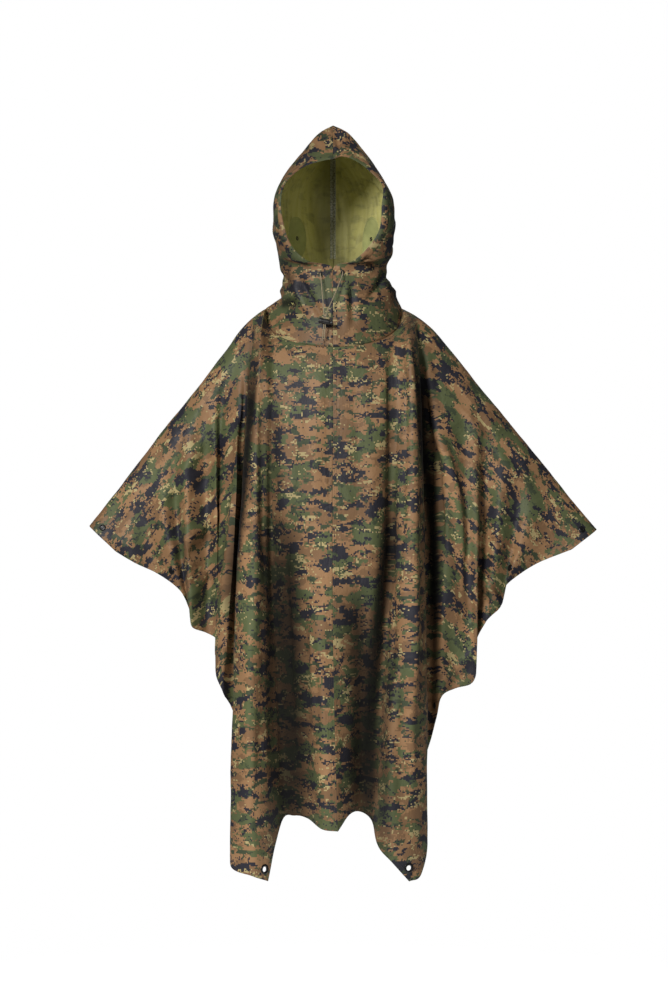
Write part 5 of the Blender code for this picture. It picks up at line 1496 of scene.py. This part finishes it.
def contour(quads, field, value):
    """Chains of mesh edges that the field's contour at this value crosses."""
    values = field - value
    inside = values[quads] < 0
    links = {}
    for quad in quads[inside.any(axis=1) & ~inside.all(axis=1)]:
        cuts = []
        for corner in range(4):
            a, b = int(quad[corner]), int(quad[(corner + 1) % 4])
            if (values[a] < 0) != (values[b] < 0):
                cuts.append((min(a, b), max(a, b)))
        for one, two in zip(cuts[::2], cuts[1::2]):
            links.setdefault(one, []).append(two)
            links.setdefault(two, []).append(one)
    chains = []
    ends = [key for key, others in links.items() if len(others) == 1]
    waiting = set(links)
    for first in ends + list(links):
        if first not in waiting:
            continue
        chain, step = [], first
        while step is not None:
            chain.append(step)
            waiting.discard(step)
            step = next((other for other in links[step] if other in waiting), None)
        if len(chain) > 2:
            chains.append(chain)
    return chains


def runs_at(cloth, field, value):
    """Lines on the cloth where the field has this value, and the way the cloth faces there."""
    runs = []
    for chain in contour(cloth.quads, field, value):
        a, b = np.array(chain).T
        share = ((value - field[a]) / (field[b] - field[a]))[:, None]
        line, facing = (values[a] * (1 - share) + values[b] * share
                        for values in (cloth.points, cloth.normals))
        runs.append((line, unit(facing)))
    return runs


def stitch_run(line, facing):
    """Points of the stitches along one line on the cloth, six for each."""
    lengths = lengths_along(line)
    count = int(lengths[-1] / STITCH_PITCH)
    if count < 2:
        return np.zeros((0, 3))
    middles = (np.arange(count) + .5) * lengths[-1] / count
    half, width, height = STITCH_SHAPE
    middle, front, back = (read_at(line, lengths, middles + move) for move in (0.0, half, -half))
    up = unit(read_at(facing, lengths, middles))
    side = unit(np.cross(front - back, up))
    return np.stack([front, middle + up * height, middle + side * width, middle - up * height,
                     middle - side * width, back], 1).reshape(-1, 3)


def add_stitches(name, runs, material):
    points = np.concatenate([stitch_run(*run) for run in runs])
    starts = np.arange(0, len(points), 6)[:, None, None]
    faces = (np.array(STITCH_FACES) + starts).reshape(-1, 3)
    return stand_in(add_faces(name, points.tolist(), faces.tolist(), material))


# ---------------------------------------------------------------- round fittings
GROMMET_HOLE = 0.0055
GROMMET_RING = (GROMMET_HOLE, .0106, .0011, .0009)     # hole, radius, lip's height, half depth
EYELET_RING = (.0017, .0043, .0007, .0008)
SEAT_RADII = {"snap_cap": .0064, "snap_socket": .0056, "grommet": .0098, "throat_eyelet": .0040}
CAP_LIFT = .6                            # of the cloth's swell under it, that a cap stands up
SOCKET_SINK = .3                         # and that a socket sinks in
BARREL_INSET = .0007                     # of a ring's outer wall, from its lips
SEAT_SPOKES = 12
TURN_STEPS = 40
LIP_STEPS = 9
SHARP_TURNED = math.radians(55)


def lathe(name, profile, place, axis, material, steps=TURN_STEPS):
    """Turned piece from (radius, height) pairs. A radius of 0 closes it."""
    axis = Vector(axis).normalized()
    side = axis.orthogonal().normalized()
    across = axis.cross(side)
    place = Vector(place)
    points, rings, faces = [], [], []
    for radius, height in profile:
        ring = []
        for step in range(1 if radius == 0 else steps):
            angle = 2 * math.pi * step / steps
            spoke = side * math.cos(angle) + across * math.sin(angle)
            ring.append(len(points))
            points.append(place + spoke * radius + axis * height)
        rings.append(ring)
    for one, two in zip(rings, rings[1:]):
        for step in range(steps):
            after = (step + 1) % steps
            corners = (one[step % len(one)], one[after % len(one)],
                       two[after % len(two)], two[step % len(two)])
            faces.append(list(dict.fromkeys(corners)))
    thing = add_faces(name, points, faces, material)
    if profile[0] == profile[-1]:
        weld_seam(thing.data)
    thing.data.set_sharp_from_angle(angle=SHARP_TURNED)
    return thing


def weld_seam(mesh):
    """Join the first and last ring of a closed profile."""
    work = bmesh.new()
    work.from_mesh(mesh)
    bmesh.ops.remove_doubles(work, verts=work.verts, dist=1e-6)
    work.to_mesh(mesh)
    work.free()


class Skin:
    """Outer face of a cloth, for seating fittings on it."""

    def __init__(self, cloth):
        self.tree = BVHTree.FromPolygons(cloth.points.tolist(), cloth.quads.tolist())

    def seat(self, middle, axis, radius):
        """Place on the cloth under the middle, the way it faces, and how far it swells."""
        middle, axis = Vector(middle), Vector(axis)
        hit = self.tree.find_nearest(middle)[0]
        spokes, facing = [], Vector((0, 0, 0))
        side = axis.orthogonal().normalized()
        across = axis.cross(side)
        for step in range(SEAT_SPOKES):
            angle = 2 * math.pi * step / SEAT_SPOKES
            near = self.tree.find_nearest(hit + (side * math.cos(angle)
                                                 + across * math.sin(angle)) * radius)
            spokes.append(near[0])
            facing += near[1]
        facing.normalize()
        if facing.dot(axis) < 0:
            facing.negate()
        swell = max((spoke - hit).dot(facing) for spoke in spokes)
        return hit, facing, max(swell, 0.0)


SNAP_PROFILE = ((.0060, -.0006), (.0067, -.0002), (.0070, .0003), (.0069, .0008),
                (.0063, .0013), (.0054, .0017), (.0042, .0020), (.0034, .0021),
                (.0030, .0019), (.0026, .0018), (.0014, .00185), (0, .0019))
SOCKET_PROFILE = ((.0056, -.0004), (.0058, .0002), (.0057, .0008), (.0050, .0011),
                  (.0042, .0012), (.0037, .0015), (.0035, .0021), (.0031, .0024),
                  (.0025, .0024), (.0021, .0020), (.0020, .0009), (0, .0008))


def ring_profile(hole, radius, lip, depth):
    """Closed profile of a grommet: rounded lips on both faces and a barrel between them."""
    middle, half = (hole + radius) / 2, (radius - hole) / 2
    angles = np.radians(np.linspace(180, 0, LIP_STEPS)).tolist()
    upper = [(middle + half * math.cos(angle), depth + lip * math.sin(angle))
             for angle in angles]
    lower = [(r, -h) for r, h in upper]
    loop = upper + [(radius - BARREL_INSET, 0.0)] + lower[::-1]
    return loop + [loop[0]]


def add_fittings(skins, metal):
    for name, (middle, axis) in fittings.items():
        side = "left" if "left" in name else "right"
        kind = next(kind for kind in SEAT_RADII if name.startswith(kind))
        skin = skins["hood" if kind == "throat_eyelet" else "panel", side]
        hit, facing, swell = skin.seat(middle, axis, SEAT_RADII[kind])
        place_name = name[len(kind) + 1:]
        if kind == "snap_cap":
            foot = hit + facing * swell * CAP_LIFT
            made = lathe(f"cap_{place_name}", SNAP_PROFILE, foot, facing, metal)
        elif kind == "snap_socket":
            foot = hit - facing * (THICKNESS + swell * SOCKET_SINK)
            made = lathe(f"socket_{place_name}", SOCKET_PROFILE, foot, -facing, metal)
        elif kind == "grommet":
            centre = Vector(middle) - facing * (Vector(middle) - hit).dot(facing)
            centre -= facing * THICKNESS / 2
            made = lathe(f"ring_{place_name}", ring_profile(*GROMMET_RING), centre, facing, metal)
        else:
            made = lathe(f"eyelet_{side}", ring_profile(*EYELET_RING),
                         hit - facing * THICKNESS / 2, facing, metal)
        stand_in(made, name)


# ---------------------------------------------------------------- patches and tape in the hood
PATCH_RINGS = (.05, .2, .4, .6, .8, .92, .98, 1.0)
PATCH_LIFTS = (.0007, .0007, .0007, .0007, .0007, .0007, .00055, .0003)
PATCH_SPOKES = 56
PATCH_SIZE = (.060, .106)                # cut size of an oval, across and up
PATCH_STITCHES = .9                      # share of the oval's reach at which it is sewn
PATCH_THICKNESS = .0003
PATCH_EYE_STEPS = 28
PATCH_EYE = ((.0044, -.0003), (.0047, .0001), (.0045, .0005), (.0037, .0008), (.0030, .0006),
             (.0026, .0002), (.0025, -.0002), (0, -.0003))

TAPE_ROW_COUNT = 110
TAPE_TURNS = (.90, 1.0, 60)              # the tape's edges are looked for on these turns
TAPE_THICKNESS = .0002
# Lines of the tape, from one edge to the other: side, share of the half width, lift.
TAPE_LINES = (("left", 1.0, .0002), ("left", .92, .0007), ("left", .5, .0010),
              ("left", 0.0, .0012), ("right", .5, .0010), ("right", .92, .0007),
              ("right", 1.0, .0002))


def strip_shell(name, rows, facings, uvs, material, thickness, wrap=False):
    """Thin raised piece from rows of points on the hood's inner face, with turned-down edges."""
    number = np.arange(rows[..., 0].size).reshape(rows.shape[:2])
    if wrap:
        number = np.concatenate([number, number[:, :1]], 1)
    quads = squares(number)
    points, facing = rows.reshape(-1, 3), facings.reshape(-1, 3)
    if (vertex_normals(points, quads) * facing).sum() < 0:
        quads = quads[:, ::-1]
    return cloth_shell(name, points, facing, quads, uvs.reshape(-1, 2)[quads], [material],
                       thickness=thickness)


def add_patch(side, hood, material, metal):
    angles = np.linspace(0, 2 * math.pi, PATCH_SPOKES, endpoint=False)

    def oval(shares, lifts):
        """Places on the hood's inner face at these shares of the oval's reach."""
        rows = PATCH_MIDDLE[0] + PATCH_REACH[0] * shares * np.sin(angles) + 1
        return hood.inside(rows, PATCH_MIDDLE[1] + PATCH_REACH[1] * shares * np.cos(angles),
                           lifts)
    shares = np.array(PATCH_RINGS)[:, None]
    lifts = np.repeat(np.array(PATCH_LIFTS)[:, None], PATCH_SPOKES, 1)
    points, facing = oval(shares, lifts)
    uvs = np.stack([shares * np.cos(angles) * PATCH_SIZE[0] / 2,
                    shares * np.sin(angles) * PATCH_SIZE[1] / 2], -1)
    patch = strip_shell(f"patch_{side}", points, facing, uvs, material, PATCH_THICKNESS, True)
    stand_in(patch, f"hood_patch_{side}")
    line, up = (np.concatenate([row, row[:1]])
                for row in oval(PATCH_STITCHES, np.full(PATCH_SPOKES, PATCH_LIFTS[0])))
    place, out = hood.inside(np.array([PATCH_MIDDLE[0] + 1]), np.array([PATCH_MIDDLE[1]]),
                             np.array([PATCH_LIFTS[0]]))
    eye = lathe(f"patch_eye_{side}", PATCH_EYE, place[0], out[0], metal, PATCH_EYE_STEPS)
    stand_in(eye)
    return patch, (line, up)


def add_tape(hoods, material):
    """Sealing tape over the back seam: seven points across, on both halves of the hood."""
    rows = np.linspace(TAPE_ROWS[0] + 1, TAPE_ROWS[1] + 1, TAPE_ROW_COUNT)
    turns = np.linspace(*TAPE_TURNS)
    edges = {}
    for side, hood in hoods.items():
        edges[side] = np.zeros_like(rows)
        for index, row in enumerate(rows):
            line = hood.inside(np.full_like(turns, row), turns, np.zeros_like(turns))[0]
            gaps = np.linalg.norm(line - line[-1], axis=1)
            edges[side][index] = np.interp(TAPE_HALF_WIDTH, gaps[::-1], turns[::-1])
    lines = []
    for side, share, lift in TAPE_LINES:
        line = hoods[side].inside(rows, 1 - (1 - edges[side]) * share, np.full(len(rows), lift))
        if share == 0.0:
            for values in line:
                values[:, 0] = 0.0
        lines.append(line)
    points, facing = (np.stack(values, 1) for values in zip(*lines))
    across = np.linspace(-TAPE_HALF_WIDTH, TAPE_HALF_WIDTH, len(TAPE_LINES))
    run = lengths_along(points[:, len(TAPE_LINES) // 2])
    uvs = np.stack(np.broadcast_arrays(across[None, :], run[:, None]), -1)
    tape = strip_shell("seam_tape", points, facing, uvs, material, TAPE_THICKNESS)
    return stand_in(tape, "hood_seam_tape"), float(run[-1])


# ---------------------------------------------------------------- cord lock
LOCK_BODY = ((0, -.0145), (.0036, -.0145), (.0047, -.0142), (.0054, -.0136), (.0059, -.0127),
             (.0060, -.0118), (.0060, -.0085), (.0056, -.0082), (.0056, -.0076), (.0060, -.0073),
             (.0060, .0040), (.0056, .0043), (.0056, .0049), (.0060, .0052), (.0060, .0066),
             (.0058, .0072), (.0054, .0075), (.0040, .0076))
LOCK_PLUNGER = ((.0040, .0060), (.0047, .0062), (.0048, .0070), (.0048, .0092), (.0046, .0094),
                (.0046, .0100), (.0048, .0102), (.0048, .0128), (.0045, .0137), (.0038, .0142),
                (.0026, .0145), (0, .0146))
LOCK_STEPS = 48
LOCK_HOLE = (.0041, .0023, .012)         # half length and width of the cord hole, and its reach
HOLE_STEPS = 32
SHARP_LOCK = math.radians(40)


def circle(middle, reach_x, reach_y, z, steps):
    return [middle + Vector((reach_x * math.cos(2 * math.pi * step / steps),
                             reach_y * math.sin(2 * math.pi * step / steps), z))
            for step in range(steps)]


def add_lock(material):
    axis = Vector((math.cos(LOCK_TILT), 0.0, -math.sin(LOCK_TILT)))
    place = Vector(LOCK_PLACE)
    lock = lathe("lock_barrel", LOCK_BODY, place, axis, material, LOCK_STEPS)
    plunger = lathe("lock_plunger", LOCK_PLUNGER, place, axis, material, LOCK_STEPS)
    middle = place - axis * LOCK_SLOT_SHIFT
    length, width, reach = LOCK_HOLE
    points = (circle(middle, length, width, -reach, HOLE_STEPS)
              + circle(middle, length, width, reach, HOLE_STEPS))
    faces = [tuple(reversed(range(HOLE_STEPS))), tuple(range(HOLE_STEPS, 2 * HOLE_STEPS))]
    for step in range(HOLE_STEPS):
        after = (step + 1) % HOLE_STEPS
        faces.append((step, after, HOLE_STEPS + after, HOLE_STEPS + step))
    cutter = add_faces("lock_slot", points, faces, material)
    cut = lock.modifiers.new("slot", "BOOLEAN")
    cut.object = cutter
    cut.solver = "EXACT"
    bpy.context.view_layer.update()
    evaluated = lock.evaluated_get(bpy.context.evaluated_depsgraph_get())
    done = bpy.data.meshes.new_from_object(evaluated)
    lock.modifiers.clear()
    lock.data = done
    bpy.data.objects.remove(cutter, do_unlink=True)
    done.shade_smooth()
    done.set_sharp_from_angle(angle=SHARP_LOCK)
    return stand_in(lock, "cord_lock"), stand_in(plunger)


# ---------------------------------------------------------------- studio
Lamp = namedtuple("Lamp", "name place target size power tint")
LAMPS = (
    Lamp("key", (-1.80, -3.65, 1.5), (0.0, 0.0, -0.40), 1.5, 186.0, (1.0, .97, .93)),
    Lamp("front", (0.7, -4.4, 0.7), (0.0, 0.0, 0.00), 1.2, 18.0, (1.0, .98, .96)),
    Lamp("behind", (0.9, 3.7, 1.2), (0.0, 0.0, -0.40), 2.2, 84.0, (1.0, 1.0, 1.0)),
)
WORLD_LIGHT = 0.115
WHITE = (1, 1, 1, 1)
FLOOR_TONES = (.93, .93, .93, 1), (.96, .96, .96, 1)
FLOOR_STEPS = 96


def add_studio():
    for lamp in LAMPS:
        data = bpy.data.lights.new(lamp.name, "AREA")
        data.shape = "DISK"
        data.size = lamp.size
        data.energy = lamp.power
        data.color = lamp.tint
        thing = add_object(lamp.name, data)
        thing.location = lamp.place
        way = Vector(lamp.target) - Vector(lamp.place)
        thing.rotation_euler = way.to_track_quat("-Z", "Y").to_euler()
        thing.visible_glossy = lamp.name != "behind"
    world = bpy.data.worlds.new("studio")
    world.use_nodes = True
    tree = world.node_tree
    tree.nodes.clear()
    seen = add_node(tree, "ShaderNodeLightPath").outputs["Is Camera Ray"]
    light, paper = (add_node(tree, "ShaderNodeBackground", None,
                             {"Color": WHITE, "Strength": strength}).outputs[0]
                    for strength in (WORLD_LIGHT, 1.0))
    both = add_node(tree, "ShaderNodeMixShader", None, {0: seen, 1: light, 2: paper}).outputs[0]
    add_node(tree, "ShaderNodeOutputWorld", None, {"Surface": both})
    bpy.context.scene.world = world
    bpy.context.scene.view_settings.view_transform = "Standard"


def add_floor():
    """Pale disc that thins out into the background towards its rim."""
    material, tree, shader = new_material("studio_floor", .9, 0.0, .1)
    place = object_place(tree)
    shader.inputs["Emission Color"].default_value = WHITE
    shader.inputs["Emission Strength"].default_value = FLOOR_GLOW
    painted(tree, shader, mix_colour(tree, solid_noise(tree, place, 3.0, 2.0), *FLOOR_TONES))
    flat = add_node(tree, "ShaderNodeVectorMath", {"operation": "MULTIPLY"},
                    {0: place, 1: (1.0, 1.0, 0.0)}).outputs[0]
    reach = add_node(tree, "ShaderNodeVectorMath", {"operation": "LENGTH"}, {0: flat})
    fade = smooth_range(tree, reach.outputs["Value"], *FLOOR_FADE, 1.0, 0.0)
    tree.links.new(fade, shader.inputs["Alpha"])
    middle = Vector((0.0, 0.0, FLOOR_Z))
    points = [middle, *circle(middle, FLOOR_RADIUS, FLOOR_RADIUS, 0.0, FLOOR_STEPS)]
    faces = [(0, 1 + step, 1 + (step + 1) % FLOOR_STEPS) for step in range(FLOOR_STEPS)]
    add_faces("floor", points, faces, material)


# ---------------------------------------------------------------- put it together
HEM_STITCHES = HEM_WIDTH - .0015
SEAM_ROWS = (SEAM_STITCH, SEAM_STITCH + .0045)               # two rows of stitches, from a seam


def dress():
    metal = plain_finish("black_enamel", (.012, .012, .013, 1), (.022, .022, .024, 1), .30, 900,
                         .6, .00006)
    plastic = plain_finish("black_plastic", (.012, .012, .012, 1), (.020, .020, .021, 1), .36,
                           700, 0.0, .00010)
    thread = plain_finish("thread", (.060, .052, .032, 1), (.105, .092, .060, 1), .70, 1500)
    cord_finish = braided_cord()
    coating = inner_cloth("coating", 3.7)
    cloths = {
        ("panel", "left"): (outer_cloth("camouflage_left", 3.7), coating),
        ("panel", "right"): (outer_cloth("camouflage_right", 21.4), coating),
        # The hood halves are lit and shaded copies: the outside's tone is lowered as painted shade,
        # and the inside has painted shade and painted light.
        ("hood", "left"): (outer_cloth("camouflage_hood_left", 47.2, .82),
                           inner_cloth("coating_hood_left", 3.7, .58, 1.22)),
        ("hood", "right"): (outer_cloth("camouflage_hood_right", 63.9, .90),
                            inner_cloth("coating_hood_right", 8.2, 1.00, 1.20, .54, 1.28)),
    }
    patch_finish = patch_cloth()
    for cord, _, _ in cords.values():
        cord.data.materials.append(cord_finish)

    panels, hoods, skins, pieces = {}, {}, {}, {}
    for side in SIDES:
        panels[side], hoods[side] = Panel(side), Hood(side)
        for kind, cloth, node in (("panel", panels[side], "body_panel"),
                                  ("hood", hoods[side], "hood")):
            skins[kind, side] = Skin(cloth)
            piece = cloth.build(cloths[kind, side])
            pieces[kind, side] = stand_in(piece, f"{node}_{side}")

    for side in SIDES:
        panel, hood = panels[side], hoods[side]
        hem = runs_at(panel, panel.edge_gap, HEM_STITCHES)
        for gap in SEAM_ROWS:
            hem += runs_at(panel, panel.seam_gap, gap)
        add_stitches(f"panel_stitches_{side}", hem, thread)
        rim = (runs_at(hood, hood.rim_gap, CHANNEL_WIDTH)
               + runs_at(hood, hood.sewn_gap, SEAM_STITCH))
        add_stitches(f"hood_stitches_{side}", rim, thread)

    patch_lines = []
    for side in SIDES:
        patch, line = add_patch(side, hoods[side], patch_finish, metal)
        patch_lines.append(line)
    add_stitches("patch_stitches", patch_lines, thread)
    tape, tape_length = add_tape(hoods, tape_cloth())
    add_fittings(skins, metal)
    lock, plunger = add_lock(plastic)

    for side in SIDES:
        cord, points, length = cords[side]


dress()
add_studio()
add_floor()
